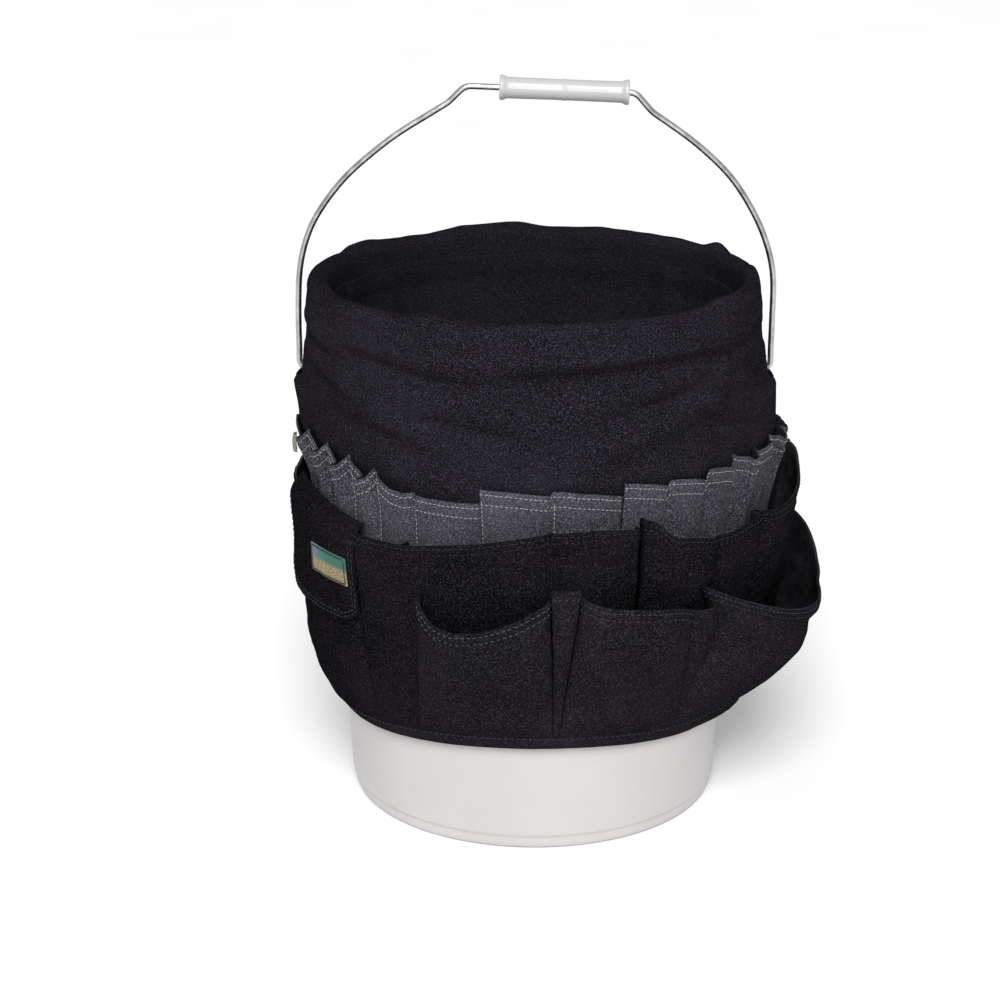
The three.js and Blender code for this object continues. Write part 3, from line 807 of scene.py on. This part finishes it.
def make_skirt():
    low, top = hem_z(RING), SKIRT_TOP - 0.3
    z = low + 9.6 + (top - low - 9.6) * np.linspace(0, 1, 124)[:, None]
    radius = skirt_radius(RING, z) + skirt_folds(RING, z) - 1.2 * smooth(z, 341.5, 344)
    points = polar(RING, radius, z)
    piece = cloth_mesh("skirt", points, CLOTH, [BLACK], True)
    cut_slots(piece)
    place(piece, "outer_skirt")


def cut_slots(piece):
    """Opens the skirt where the bail's hooked ends pass through it."""
    for side in (-1, 1):
        corners = [(x, y, z) for x in (145, 176) for y in (-7.5, 7.5) for z in (297.5, 313.5)]
        corners = [(side * x, y, z) for x, y, z in corners]
        faces = [(0, 1, 3, 2), (4, 6, 7, 5), (0, 4, 5, 1), (2, 3, 7, 6), (0, 2, 6, 4), (1, 5, 7, 3)]
        cutter = mesh_object("slot_cutter", corners, [f[::side] for f in faces])
        cut = piece.modifiers.new("slot", "BOOLEAN")
        cut.operation, cut.solver, cut.object = "DIFFERENCE", "EXACT", cutter
        bpy.context.view_layer.update()
        evaluated = piece.evaluated_get(bpy.context.evaluated_depsgraph_get())
        result = bpy.data.meshes.new_from_object(evaluated)
        piece.modifiers.clear()
        piece.data = result
        bpy.data.objects.remove(cutter)


def make_slot_bindings():
    """Tape in an arch over each slot."""
    for side, name in ((-1, "left"), (1, "right")):
        path = [(-13, 303.8), (-13, 321), (-11, 323), (11, 323), (13, 321), (13, 303.8)]
        line, _ = evened(rounded(path, 5, 6), 90)
        outward = unit(np.gradient(line, axis=0))[:, ::-1] * np.array([1, -1])
        t = np.linspace(-2.8, 2.8, 7)[:, None]
        spot = line - outward * t[..., None]
        angle = side * 90 + spot[..., 0] / 158.5 * ROUND * side
        radius = skirt_radius(angle, spot[..., 1]) + 0.85 + 0.12 * np.cos(t / 2.8 * 1.4)
        points = polar(angle, radius, spot[..., 1])
        if side < 0:
            points = points[:, ::-1]
        piece = cloth_mesh(f"slot_binding_{name}", points, 0.7, [TAPE])
        place(piece, f"bail_slot_binding_{name}")
        normal = grid_normals(points)
        for row in (1, -2):
            BLACK_STITCHES.row(points[row] + normal[row] * 0.28, normal[row], radius=0.2)


def gathers(a, wide, narrow):
    """The gathers that the cuff and the lining share."""
    return 0.6 * noise(around(a, 34), wide, 31, 34) + 0.4 * noise(around(a, 71), narrow, 32, 71)


def make_collar():
    outside = [(157, SKIRT_TOP - 3.5), (157.2, 348), (157, 354), (156.2, 359), (155.6, 362.5), (155.8, 366)]
    crest = [(154.6, 370), (151.6, 372.5), (148.6, 372.9), (145.6, 371.9), (143.4, 369.4), (142.5, 365)]
    profile, even = evened(rounded(outside + crest + [(142.3, 352)], 3, 4), 52)
    a = RING[None, :]
    r, z = profile[:, :1], profile[:, 1:]
    share = even[:, None] / even[-1]
    over = bell(share, 0.52, 0.17)
    inside = smooth(share, 0.5, 0.75)
    outer = 1 - inside
    gather = gathers(a, 0 * a, 0 * a)
    dents = 0.8 * noise(around(a, 26), share * 3, 33, 26)
    dents = dents + 0.5 * noise(around(a, 60) + 2 * share, share * 5, 35, 60)
    radius = r - inside * (0.8 + 1.6 * np.clip(gather, -0.4, 1)) + outer * smooth(share, 0.12, 0.35) * dents
    flush = outer * (1 - smooth(z, 342, 356))
    radius = radius * (1 - flush) + flush * (skirt_radius(a, z) + 0.65)
    folds = skirt_folds(a, z) * (1 - 0.7 * smooth(z, 350, 366))
    radius = radius + outer * (folds - 1.5 * bump(a, 90, 40) * (1 - flush))
    peaks = np.clip(noise(around(a, 27), 0 * a, 37, 27), 0, 1) ** 2
    height = z + over * (0.4 + 1.5 * np.clip(gather, -0.5, 1.0) + 6.0 * peaks)
    points = polar(a, radius, height)
    thickness = CLOTH - 0.8 * bell(even[:, None], 0, 4) + 0 * a
    piece = cloth_mesh("rim_cuff", points, thickness, [BLACK], True)
    # The cuff's faces that turn in towards the pail take the lining's cloth in place of the canvas: painted
    # shade on the inner side of the rim.
    piece.data.materials.append(LINING_AND_PAINTED_SHADE)
    for face in piece.data.polygons:
        inward = -face.normal.xy.dot(face.center.xy) / face.center.xy.length
        face.material_index = int(inward > 0.55)
    place(piece, "rim_collar")


def make_liner():
    t = np.linspace(0, 1, 90)[:, None]
    z = LINER_BOTTOM + (355 - LINER_BOTTOM) * t
    z = z + 1.5 * noise(around(RING, 20), 0 * RING, 41, 20) * (1 - t)
    r = np.interp(z, [160, 168, 235, 310, 351.5], [132, 132.4, 136.4, 140, 142.2])
    gather = gathers(RING, z / 300, z / 200)
    fall = noise(around(RING, 17), z / 160, 42, 17)
    r = r - 0.9 - 3.2 * np.clip(gather, -0.3, 1) - 2.5 * np.clip(fall, -0.4, 1) * smooth(z, 340, 240)
    r = r - 1.7 * smooth(z, 335, 350) + crumple(RING, z, 43, 0.25)
    points = polar(RING, r, z)
    piece = cloth_mesh("lining", points, CLOTH, [LINING_AND_PAINTED_SHADE, LINING_AND_PAINTED_SHADE], True)
    place(piece, "inner_liner")


def make_hem():
    t = np.linspace(0, 1, 12)[:, None]
    z = hem_z(RING) + HEM_HEIGHT * t
    points = polar(RING, skirt_radius(RING, z) + 0.55 + crumple(RING, z, 51, 0.15), z)
    thickness = CLOTH + HEM_EXTRA - 0.5 * bell(t, 0.82, 0.08)
    piece = cloth_mesh("hem", points, thickness, [TAPE], True)
    place(piece, "bottom_hem")
    BLACK_STITCHES.at_depth(close_ring(points), 1.8, CLOTH + 0.9, radius=0.28)


# ---------- pockets ----------


def plump(s, square):
    """How far a pocket stands out across its width: 0 at its seams, 1 at its middle."""
    return (1 - np.abs(2 * s - 1) ** square) ** (1 / square)


def pocket_grid(
    left, right, base, depth, bottom, full_at, edge, square, seed, amount, folds=(), lapped=0, creases=()
):
    """A pocket's cloth. left(z) and right(z) are its seams, bottom(a) its foot, edge(s) its mouth.
    A lapped pocket keeps that share of its depth at its left edge, over its neighbour's cloth."""
    width = math.radians(right(220.0) - left(220.0)) * 175  # near enough, to choose the number of cells
    sides = np.array([0, 0.006, 0.014, 0.026, 0.042, 0.065])
    middle = np.linspace(0.09, 0.91, max(16, int(width / CELL)))
    s = np.concatenate([sides, middle, 1 - sides[::-1]])[None, :]
    top = edge(s)
    low = bottom(left(0.0) + (right(0.0) - left(0.0)) * s)
    v = np.linspace(0, 1, max(24, int((top.mean() - low.mean()) / CELL)))[:, None]
    z = low + (top - low) * v
    a = left(z) + (right(z) - left(z)) * s
    rise = ramp(z, low, full_at)
    full = depth(a) * (1.12 * rise - 0.12 * rise**3)
    stand = plump(s, square)
    stand = np.where(s < 0.5, lapped + (1 - lapped) * stand, stand)
    offset = CLOTH / 2 + CLEAR + full * stand
    pull = bell(np.minimum(s, 1 - s), 0, 0.09)
    drape = noise(around(a, 30) + z / 90, z / 55, seed, 30)
    drape = drape + 0.5 * noise(around(a, 60), z / 30, seed + 1, 60)
    puckers = np.sin(z / 7.5 * 2 * np.pi + 3 * noise(z / 20, 0 * z, seed + 2)) * pull
    strength = ramp(full, 0, 4) * stand
    offset = offset + strength * amount * (1.3 * drape + 0.35 * puckers)
    offset = offset + np.clip(strength + 0.25, 0, 1) * crumple(a, z, seed + 3, 0.22)
    for centre, spread, dip in folds:
        offset = offset - dip * strength * bell(a, centre, spread)
    for line in creases:
        offset = offset + strength * crease(a, z, *line)
    return polar(a, base(a, z) + offset, z)


def hem_thickness(points, height):
    """The cloth's thickness, with a turned hem of some height at its upper edge."""
    drop = np.linalg.norm(np.diff(points, axis=0), axis=-1)[::-1].cumsum(0)[::-1]
    drop = np.concatenate([drop, np.zeros((1, points.shape[1]))])
    hem = 1 - smooth(drop, height - 0.6, height + 0.8)
    return CLOTH + HEM_EXTRA * hem - 0.7 * bell(drop - height, -1.3, 0.7) * hem


def steady(value):
    return lambda z: value + 0 * z


def curve_through(pairs, reach=20):
    """A smooth curve of s near (s, height) pairs, its corners eased over reach hundredths each side."""
    xs, ys = np.array(pairs, float).T
    fine = np.linspace(0, 1, 201)
    straight = np.interp(fine, xs, ys)
    kernel = np.hanning(2 * reach + 1)
    before = 2 * straight[0] - straight[reach:0:-1]
    after = 2 * straight[-1] - straight[-2 : -reach - 2 : -1]
    padded = np.concatenate([before, straight, after])
    eased = np.convolve(padded, kernel / kernel.sum(), "valid")
    return lambda s: np.interp(s, fine, eased)


def make_pocket(name, node, points, material, hem):
    piece = cloth_mesh(name, points, hem_thickness(points, hem), [material, COATED])
    place(piece, node)


def make_middle_pockets():
    flat = [(0, 225), (0.5, 225), (1, 225.5)]
    front = [(0, 225), (0.3, 233.5), (0.5, 239.5), (0.66, 244), (0.87, 243.5), (1, 240.5)]
    front_folds = [(3.3, 1.1, 3.0), (12.5, 1.0, 2.2)]
    front_right = [(0, 246), (0.09, 245), (0.13, 233), (0.5, 225), (1, 227)]
    right = [(0, 227), (0.5, 225), (0.72, 231), (0.88, 242), (1, 248)]
    back = [(0, 232), (0.5, 228), (1, 232)]
    pockets = [
        ("strip", -45.4, -29.5, flat, ()),
        ("front", -30.8, 24, front, front_folds),
        ("front_right", 24, 62, front_right, [(44, 1.3, 2.5)]),
        ("right", 62, 96, right, ()),
        ("back_right", 96, 132, [(0, 248), (0.15, 240), (0.5, 228), (1, 232)], ()),
        ("back_1", 132, 168, back, ()),
        ("back_2", 168, 204, back, ()),
        ("back_left", 204, 240, back, ()),
        ("left", 240, 278.6, [(0, 232), (0.5, 227), (1, 228)], ()),
    ]
    for k, (name, start, end, edge, folds) in enumerate(pockets):
        left, right = steady(start + 0.55), steady(end - 0.55)
        bottom = front_bottom if name == "strip" else middle_bottom
        curve, square = curve_through(edge), 5 if name == "strip" else 4
        lapped = {"strip": 0.35, "front": 1}.get(name, 0)
        seed = 100 + 7 * k
        shape = (middle_base, middle_depth, bottom, LAYER_FULL, curve, square)
        points = pocket_grid(left, right, *shape, seed, 0.8, folds, lapped)
        make_pocket(f"middle_{name}", f"middle_pocket_{name}", points, MIDDLE_PAINTED_SHADE, HEM_MIDDLE)
        BLACK_STITCHES.at_depth(points, 5.6, CLOTH + 0.3, radius=0.26)
        BLACK_STITCHES.at_depth(points, 1.4, CLOTH + 0.9, radius=0.24)


def tapered(top, bottom):
    """A seam whose angle goes from bottom at the pockets' foot to top at their mouth."""
    return lambda z: bottom + (top - bottom) * ramp(z, 88, 200)


def swayed(top, bottom, sway):
    """A tapered seam that leans out by sway degrees between its ends."""
    straight = tapered(top, bottom)
    return lambda z: straight(z) + sway * bell(z, 158, 27)


# Creases of the wide pocket on the right, fanning out from the upper end of its left seam: the angle
# and height at which each one starts and ends, its depth and its width.
RIGHT_POCKET_CREASES = [
    (44, 186, 72, 138, 3.4, 5.5),
    (45, 168, 64, 116, 2.6, 5.5),
    (52, 180, 84, 156, 2.0, 4.5),
    (66, 140, 92, 128, 1.8, 5.0),
]


def make_large_pockets():
    smile = [(0, 194), (0.06, 189), (0.17, 180.5), (0.33, 177), (0.5, 179), (0.75, 188), (1, 199.5)]
    slope = [(0, 201), (0.2, 197), (0.5, 193), (0.78, 189.5), (0.93, 185), (1, 178)]
    right = [(0, 194), (0.1, 182), (0.2, 172), (0.3, 164), (0.42, 158.5), (0.55, 157)]
    right += [(0.66, 159), (0.76, 167), (0.87, 181), (1, 196)]
    level = [(0, 198), (0.5, 189.5), (1, 198)]
    pockets = [
        ("front_left", tapered(-24.8, -30.6), tapered(3.3, 5.2), smile, 165, 2.4),
        ("front_right", tapered(9.9, 6.9), tapered(33.8, 41.8), slope, 165, 2.6),
        ("right", swayed(38.3, 43.2, 4.4), tapered(97, 96), right, BELLY, 2.3),
        ("back_right", tapered(99, 101), tapered(130.6, 131.8), level, 165, 2.6),
        ("back_1", tapered(135.4, 134.2), tapered(165.6, 166.8), level, 165, 2.6),
        ("back_2", tapered(170.4, 169.2), tapered(200.6, 201.8), level, 165, 2.6),
        ("back_left", tapered(205.4, 204.2), tapered(237, 235), level, 165, 2.6),
    ]
    for k, (name, left, far, edge, full_at, square) in enumerate(pockets):
        curve, seed = curve_through(edge, 12), 300 + 7 * k
        lines = RIGHT_POCKET_CREASES if name == "right" else ()
        shape = (front_base, front_depth, front_bottom, full_at, curve, square)
        points = pocket_grid(left, far, *shape, seed, 1.1, creases=lines)
        make_pocket(f"large_{name}", f"large_pocket_{name}", points, FRONT_PAINTED_LIGHT, HEM_LARGE)
        # The front left pocket's rows take the lighter thread, partly as a painted highlight on its lip.
        stitches = LIP_STITCHES_AND_HIGHLIGHT if name == "front_left" else POCKET_STITCHES
        stitches.at_depth(points, 7.4, CLOTH + 0.3, radius=0.27)
        stitches.at_depth(points, 1.8, CLOTH + 0.9, radius=0.27)


def make_gussets():
    """The narrow folded strips between neighbouring large pockets."""
    gussets = [
        ("front", tapered(3.7, 5.5), tapered(9.4, 6.6), 207),
        ("front_right", tapered(33.4, 41.2), swayed(39.2, 44.0, 4.4), 181),
        ("back_1", tapered(130.8, 132.0), tapered(135.2, 134.0), 203),
        ("back_2", tapered(165.8, 167.0), tapered(170.2, 169.0), 203),
        ("back_3", tapered(200.8, 202.0), tapered(205.2, 204.0), 203),
    ]
    s = np.linspace(0, 1, 15)[None, :]
    v = np.linspace(0, 1, 60)[:, None]
    for k, (name, left, right, top) in enumerate(gussets):
        low = front_bottom((left(0.0) + right(0.0)) / 2) + 1.5
        z = low + (top - low) * v + 0 * s
        a = left(z) + (right(z) - left(z)) * s
        fold = 1 - (2 * s - 1) ** 2
        round_fold = 6.5 if name == "front_right" else 2.2
        offset = 1.2 + 5.5 * smooth(z, 110, 190) + fold * round_fold * smooth(z, 95, 150)
        points = polar(a, front_base(a, z) + (offset + crumple(a, z, 400 + k, 0.15)), z)
        piece = cloth_mesh(f"gusset_{name}", points, hem_thickness(points, 6), [FRONT_PAINTED_LIGHT])
        place(piece)
        if name != "front_right":
            POCKET_STITCHES.at_depth(points, 4.4, CLOTH + 0.4, radius=0.26)


# The gray strip's narrow pockets, span by span: the angle and top height at which each one starts.
# "fold" pockets hang open in a folded loop, "sag" ones droop from a raised start, "flat" ones lie flat.
GRAY_SPANS = [
    ([(-12.2, 266.5, "lap"), (4.3, 266.0, "lap")], 20.9),
    ([(20.9, 268.5, "lap"), (33, 266, "lap"), (45, 267, "lap")], 56),
    ([(56, 266, "fold"), (65, 266, "flat"), (74, 267, "fold"), (83, 266, "fold")], 92),
    ([(92, 267, "lap"), (104, 266, "fold"), (116, 267, "lap")], 128),
    ([(128, 267, "fold"), (139, 266, "lap"), (152, 267, "fold")], 164),
    ([(164, 267, "lap"), (177, 266, "lap"), (189, 267, "fold")], 200),
    ([(200, 267, "fold"), (211, 266, "lap"), (224, 267, "lap")], 236),
    ([(236, 267, "fold"), (247, 266, "fold"), (260, 267, "lap")], 272),
    ([(-88, 266, "fold"), (-75, 266, "fold"), (-62.7, 266, "fold")], -51.2),
    ([(-51.2, 264, "fold"), (-41, 258, "sag"), (-29.5, 256.5, "flat")], -12.2),
]

# For each kind, along its cloth from 0 to 1: how far across the pocket, how deep, how much higher.
FOLD_ACROSS = [(0, 0), (0.3, 0.4), (0.45, 0.6), (0.52, 0.62), (0.6, 0.56), (0.68, 0.6), (0.8, 0.76), (1, 1)]
FOLD_DEEP = [(0, 0), (0.08, 0.15), (0.3, 0.3), (0.45, 0.45), (0.6, 0.95), (0.68, 1.15), (0.8, 1.1)]
FOLD_DEEP += [(0.92, 0.6), (1, 0)]
FLAT_DEEP = [(0, 0), (0.05, 0.28), (0.14, 0.42), (0.5, 0.5), (0.9, 0.42), (0.96, 0.26), (1, 0)]
FOLD_HIGHER = [(0, 6), (0.08, 3.5), (0.3, 0), (0.45, -2), (0.6, -4), (0.7, -4.5), (0.85, -2)]
FOLD_HIGHER += [(0.93, 1.5), (1, 6)]
STRAIGHT = curve_through([(0, 0), (1, 1)], 6)
ACROSS = {"fold": curve_through(FOLD_ACROSS, 6), "sag": STRAIGHT, "flat": STRAIGHT, "lap": STRAIGHT}
DEEP = {
    "fold": curve_through(FOLD_DEEP, 6),
    "sag": curve_through([(0, 0), (0.15, 0.4), (0.5, 0.9), (0.85, 0.7), (1, 0.1)], 10),
    "flat": curve_through(FLAT_DEEP, 3),
    "lap": curve_through([(0, 0.45), (0.04, 0.5), (0.4, 0.55), (0.8, 0.35), (0.97, 0.15), (1, 0.1)], 3),
}
HIGHER = {
    "fold": curve_through(FOLD_HIGHER, 6),
    "sag": curve_through([(0, 8), (0.15, 4.5), (0.5, 1), (0.8, -0.6), (1, 0)], 10),
    "flat": curve_through([(0, 0.8), (0.1, 0), (0.9, -0.2), (1, 0.4)], 4),
    "lap": curve_through([(0, 0.6), (0.15, 0.2), (0.6, -2.5), (0.9, -5.5), (1, -6.5)], 4),
}
GRAY_COLUMNS = 40  # columns of cloth in each narrow pocket
SEEN_SEAMS = (0, 8, 9)  # spans whose inner seams show their stitches


def gray_pocket(k, start, width, top, kind, p):
    """The points of one narrow pocket of span k, at the shares p along its cloth."""
    v = np.linspace(0, 1, 64)[:, None]
    rise = 0.6 if 2 <= k <= 7 or start == -12.2 else 1
    mouth = top + HIGHER[kind](p) * rise
    z = GRAY_BOTTOM + (mouth - GRAY_BOTTOM) * v
    formed = smooth(z, 205, 258)
    a = start + width * (p + (ACROSS[kind](p) - p) * formed)
    soft = 0.55 * np.sin(np.pi * p) ** 0.8
    depth = soft + (DEEP[kind](p) - soft) * formed
    full = gray_depth(a) - 3.4 * bump(a, -92, 30) - 1.2 * bump(a, 92, 26)
    depth = depth * full * ramp(z, GRAY_BOTTOM, LAYER_FULL)
    near = np.minimum(p, 1 - p) * width
    pleat = bell(near, 0.9, 0.5) * smooth(z, 215, 255) * (0.8 if kind == "flat" else 0.3)
    offset = CLOTH / 2 + CLEAR + depth + pleat + crumple(a, z, 520 + 5 * k, 0.22)
    offset = offset + 0.9 * noise(around(a, 70), z / 40, 560 + k, 70) * np.sin(np.pi * p)
    return polar(a, gray_base(a, z) + offset, z)


def make_gray_pockets():
    share = np.linspace(0, 1, GRAY_COLUMNS + 1)[None, :]
    for k, (pockets, end) in enumerate(GRAY_SPANS):
        starts = [start for start, _, _ in pockets] + [end]
        parts = []
        for i, (start, top, kind) in enumerate(pockets):
            p = share if i == len(pockets) - 1 else share[:, :-1]
            parts.append(gray_pocket(k, start, starts[i + 1] - start, top, kind, p))
        points = np.concatenate(parts, 1)
        thickness = hem_thickness(points, HEM_GRAY) - 0.2
        piece = cloth_mesh(f"gray_{k + 1:02d}", points, thickness, [GRAY, LINING_AND_PAINTED_SHADE])
        place(piece, f"gray_pockets_{k + 1:02d}")
        WHITE_STITCHES.at_depth(points, 1.9, CLOTH + 0.8, **FINE)
        WHITE_STITCHES.at_depth(points, 9.0, CLOTH + 0.3, **FINE)
        for i in range(len(pockets)) if k in SEEN_SEAMS else ():
            WHITE_STITCHES.down_column(points[25:], i * GRAY_COLUMNS + 1, **FINE)


# ---------- flap ----------

FLAP_FROM, FLAP_TO = -80.5, -44.0
FLAP_TOP, FLAP_BOTTOM, FLAP_FALL = 237.0, 160.0, 8.0
FLAP_WIDTH = 110
FLAP_MIDDLE = math.radians((FLAP_FROM + FLAP_TO) / 2)


def flap_top(s):
    """The seam that the flap hangs from falls a little towards the front."""
    return FLAP_TOP + 1 - FLAP_FALL * s


def flap_radius(a, z):
    s = (a - FLAP_FROM) / (FLAP_TO - FLAP_FROM)
    seam = middle_base(a, z) + CLOTH / 2 + 0.4
    out = 1 - ramp(z, flap_top(s) - 15, flap_top(s)) ** 1.6
    return seam + 10.6 * out * (0.72 + 0.28 * plump(0.08 + 0.84 * np.clip(s, 0, 1), 2.4))


def flap_bottom(s):
    """The flap's free edge, rounded at its corners."""
    away = np.minimum(s, 1 - s) / 0.22
    return FLAP_BOTTOM + 13 * (1 - np.sqrt(np.clip(1 - (1 - np.clip(away, 0, 1)) ** 2, 0, 1)))


def make_flap_pocket():
    left, right = steady(FLAP_FROM - 0.8), steady(FLAP_TO - 1.1)
    edge = curve_through([(0, 221), (0.5, 218), (1, 212)])
    points = pocket_grid(left, right, middle_base, flap_pocket_depth, front_bottom, BELLY, edge, 6, 600, 0.6)
    make_pocket("flap_pocket_body", "flap_pocket", points, MIDDLE_PAINTED_SHADE, HEM_MIDDLE)


def make_flap():
    sides = [[0, 0.01, 0.03, 0.06, 0.1], [0.9, 0.94, 0.97, 0.99, 1]]
    s = np.concatenate([sides[0], np.linspace(0.14, 0.86, 44), sides[1]])[None, :]
    v = np.linspace(0, 1, 66)[:, None]
    low, top = flap_bottom(s), flap_top(s)
    z = low + (top - low) * v
    a = FLAP_FROM + (FLAP_TO - FLAP_FROM) * s + 0 * z
    dents = 0.9 * noise(around(a, 26), z / 30, 610, 26) + crumple(a, z, 612, 0.22)
    free = 1 - smooth(z, top - 11, top)
    curl = 1.6 * bell(z, low, 12) * (0.5 + noise(around(a, 30), 0 * z, 613, 30))
    points = polar(a, flap_radius(a, z) + free * (dents + curl), z)
    edge = np.minimum(np.minimum(s, 1 - s) * FLAP_WIDTH, z - low)
    band = (1 - smooth(edge, 5.2, 6.4)) * (1 - smooth(z, top - 9, top - 1))
    thickness = CLOTH + 1.1 * band - 0.5 * bell(edge, 5, 0.6)
    piece = cloth_mesh("flap_cover", points, thickness, [MIDDLE_PAINTED_SHADE, COATED])
    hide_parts("pocket_flap")
    across = points[-1, -1] - points[-1, 0]
    outward = np.array([math.sin(FLAP_MIDDLE), -math.cos(FLAP_MIDDLE), 0])
    upward = unit(np.cross(outward, across))
    upward = upward * np.sign(upward[2])
    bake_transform(piece)

    normal = grid_normals(points)
    face = (points, normal, s[0], low[0])
    stitch_flap(points + normal * (thickness[..., None] / 2), face)
    grid = make_patch("label", "label_patch", face, (0.53, 0.93), (186.5, 205.5), 0.9, 1, LABEL)
    make_label_border(grid)
    make_patch("hook_tape", "flap_hook_tape", face, (0.36, 0.64), (166, 186), 1.2, -1, HOOKS)


def flap_spot(face, s, z):
    """Fractional row and column of the flap's grid at a share s of its width and a height z."""
    points, _, shares, lows = face
    low = np.interp(s, shares, lows)
    row = np.clip((z - low) / (flap_top(s) - low), 0, 1) * (len(points) - 1)
    return row, np.interp(s, shares, np.arange(len(shares)))


def stitch_flap(surface, face):
    """Two rows of stitches down one side of the flap, along its free edge and up the other."""
    stitches = Stitching("flap_stitching", BLACK_THREAD, "black_tape", "flap")
    down = np.linspace(222, 175, 60)
    for inset in (1.6, 4.6):
        k = inset / FLAP_WIDTH
        along = k + (1 - 2 * k) * np.linspace(0, 1, 160)
        s = np.concatenate([np.full(60, k), along, np.full(60, 1 - k)])
        z = np.concatenate([down, flap_bottom(along) + inset, down[::-1]])
        spot = flap_spot(face, s, z)
        stitches.row(sample(surface, *spot), unit(sample(face[1], *spot)), radius=0.27)
    stitches.build()


def sample(values, row, column):
    """Values of a grid at fractional rows and columns."""
    r0 = np.clip(np.floor(row).astype(int), 0, values.shape[0] - 2)
    c0 = np.clip(np.floor(column).astype(int), 0, values.shape[1] - 2)
    fr, fc = (row - r0)[..., None], (column - c0)[..., None]
    low = values[r0, c0] * (1 - fc) + values[r0, c0 + 1] * fc
    high = values[r0 + 1, c0] * (1 - fc) + values[r0 + 1, c0 + 1] * fc
    return low * (1 - fr) + high * fr


def make_patch(name, node, face, across, heights, thick, side, material):
    """A strip sewn to the flap: on its outer face for side 1, under it for side -1."""
    spot = flap_spot(face, np.linspace(*across, 30)[None, :], np.linspace(*heights, 22)[:, None])
    away = side * (CLOTH / 2 + thick / 2 + 0.15)
    grid = sample(face[0], *spot) + unit(sample(face[1], *spot)) * away
    piece = cloth_mesh(name, grid, thick, [material])
    place(piece, node, "flap")
    return grid


def make_label_border(grid):
    border = Stitching("label_border", LABEL_EDGE, "label", "flap")
    n = grid_normals(grid)
    lifted = grid + n * 0.45
    inner = slice(1, -1)
    for line in ((1, inner), (-2, inner), (inner, 1), (inner, -2)):
        border.row(lifted[line], n[line], length=1.1, gap=0.15, radius=0.55)
    border.build()


def make_tab():
    """A loop of folded tape lying against the gray strip."""
    low, high = box_mm("side_tab")
    middle = (low + high) / 2
    angle = math.degrees(math.atan2(middle[0], -middle[1]))
    radius = math.hypot(middle[0], middle[1])
    t, z = np.linspace(-1, 1, 33), np.linspace(low[2], high[2], 14)[:, None]
    bend = (z - middle[2]) / 6
    outward = radius - 4.2 + 2.2 * np.cos(t * math.pi / 2) ** 0.6 - 0.6 * bend**2
    points = polar(angle + t * 3.9 / radius * ROUND, outward, z)
    piece = cloth_mesh("tab", points, 0.9, [TAB])
    place(piece, "side_tab")


# ---------- room ----------


def make_stage():
    """A white floor that reaches past every view, a white sky, a soft sun and a lamp in front."""
    n = Nodes("floor")
    grain = n.noise(3, 2.0, 0.5)
    color = n.ramp(grain, [(0.3, (0.92, 0.92, 0.92)), (0.7, (0.95, 0.95, 0.95))])
    material = n.finish(color, 0.85)
    reach = 14000
    corners = [(-reach, -reach, 0), (reach, -reach, 0), (reach, reach, 0), (-reach, reach, 0)]
    floor = mesh_object("floor", corners, [(0, 1, 2, 3)], None, [material])
    world = bpy.data.worlds.new("studio")
    world.use_nodes = True
    sky = world.node_tree.nodes["Background"]
    sky.inputs["Color"].default_value = (1, 1, 1, 1)
    sky.inputs["Strength"].default_value = 0.58
    bpy.context.scene.world = world
    sun, _ = lamp("sun", "SUN", 2.25, (math.radians(45), 0, math.radians(-2)))
    sun.angle = math.radians(24)
    spot = np.array([-0.05, -1.9, 1.15])
    aim = np.array([0, 0, 0.26]) - spot
    turn = (math.atan2(math.hypot(aim[0], aim[1]), -aim[2]), 0, math.atan2(-aim[0], aim[1]))
    key, holder = lamp("key", "AREA", 13, turn)
    key.shape, key.size = "DISK", 0.6
    holder.location = spot
    bpy.context.scene.view_settings.view_transform = "Standard"


def lamp(name, kind, energy, turn):
    light = bpy.data.lights.new(name, kind)
    light.energy = energy
    holder = bpy.data.objects.new(name, light)
    holder.rotation_euler = turn
    bpy.context.scene.collection.objects.link(holder)
    return light, holder


def make_camera():
    data = bpy.data.cameras.new("camera")
    data.lens, data.sensor_width = 84.89, 36
    camera = bpy.data.objects.new("camera", data)
    camera.location = (0, -1.58468, 0.73355)
    camera.rotation_euler = (math.radians(90 - 18.332), 0, math.radians(0.870))
    bpy.context.scene.collection.objects.link(camera)
    bpy.context.scene.camera = camera


make_camera()
make_stage()
make_pail()
make_bail()
make_grip()
make_skirt()
make_collar()
make_liner()
make_hem()
make_slot_bindings()
make_gray_pockets()
make_middle_pockets()
make_large_pockets()
make_gussets()
make_flap_pocket()
make_flap()
make_tab()
for stitches in (WHITE_STITCHES, BLACK_STITCHES, POCKET_STITCHES, LIP_STITCHES_AND_HIGHLIGHT):
    stitches.build()
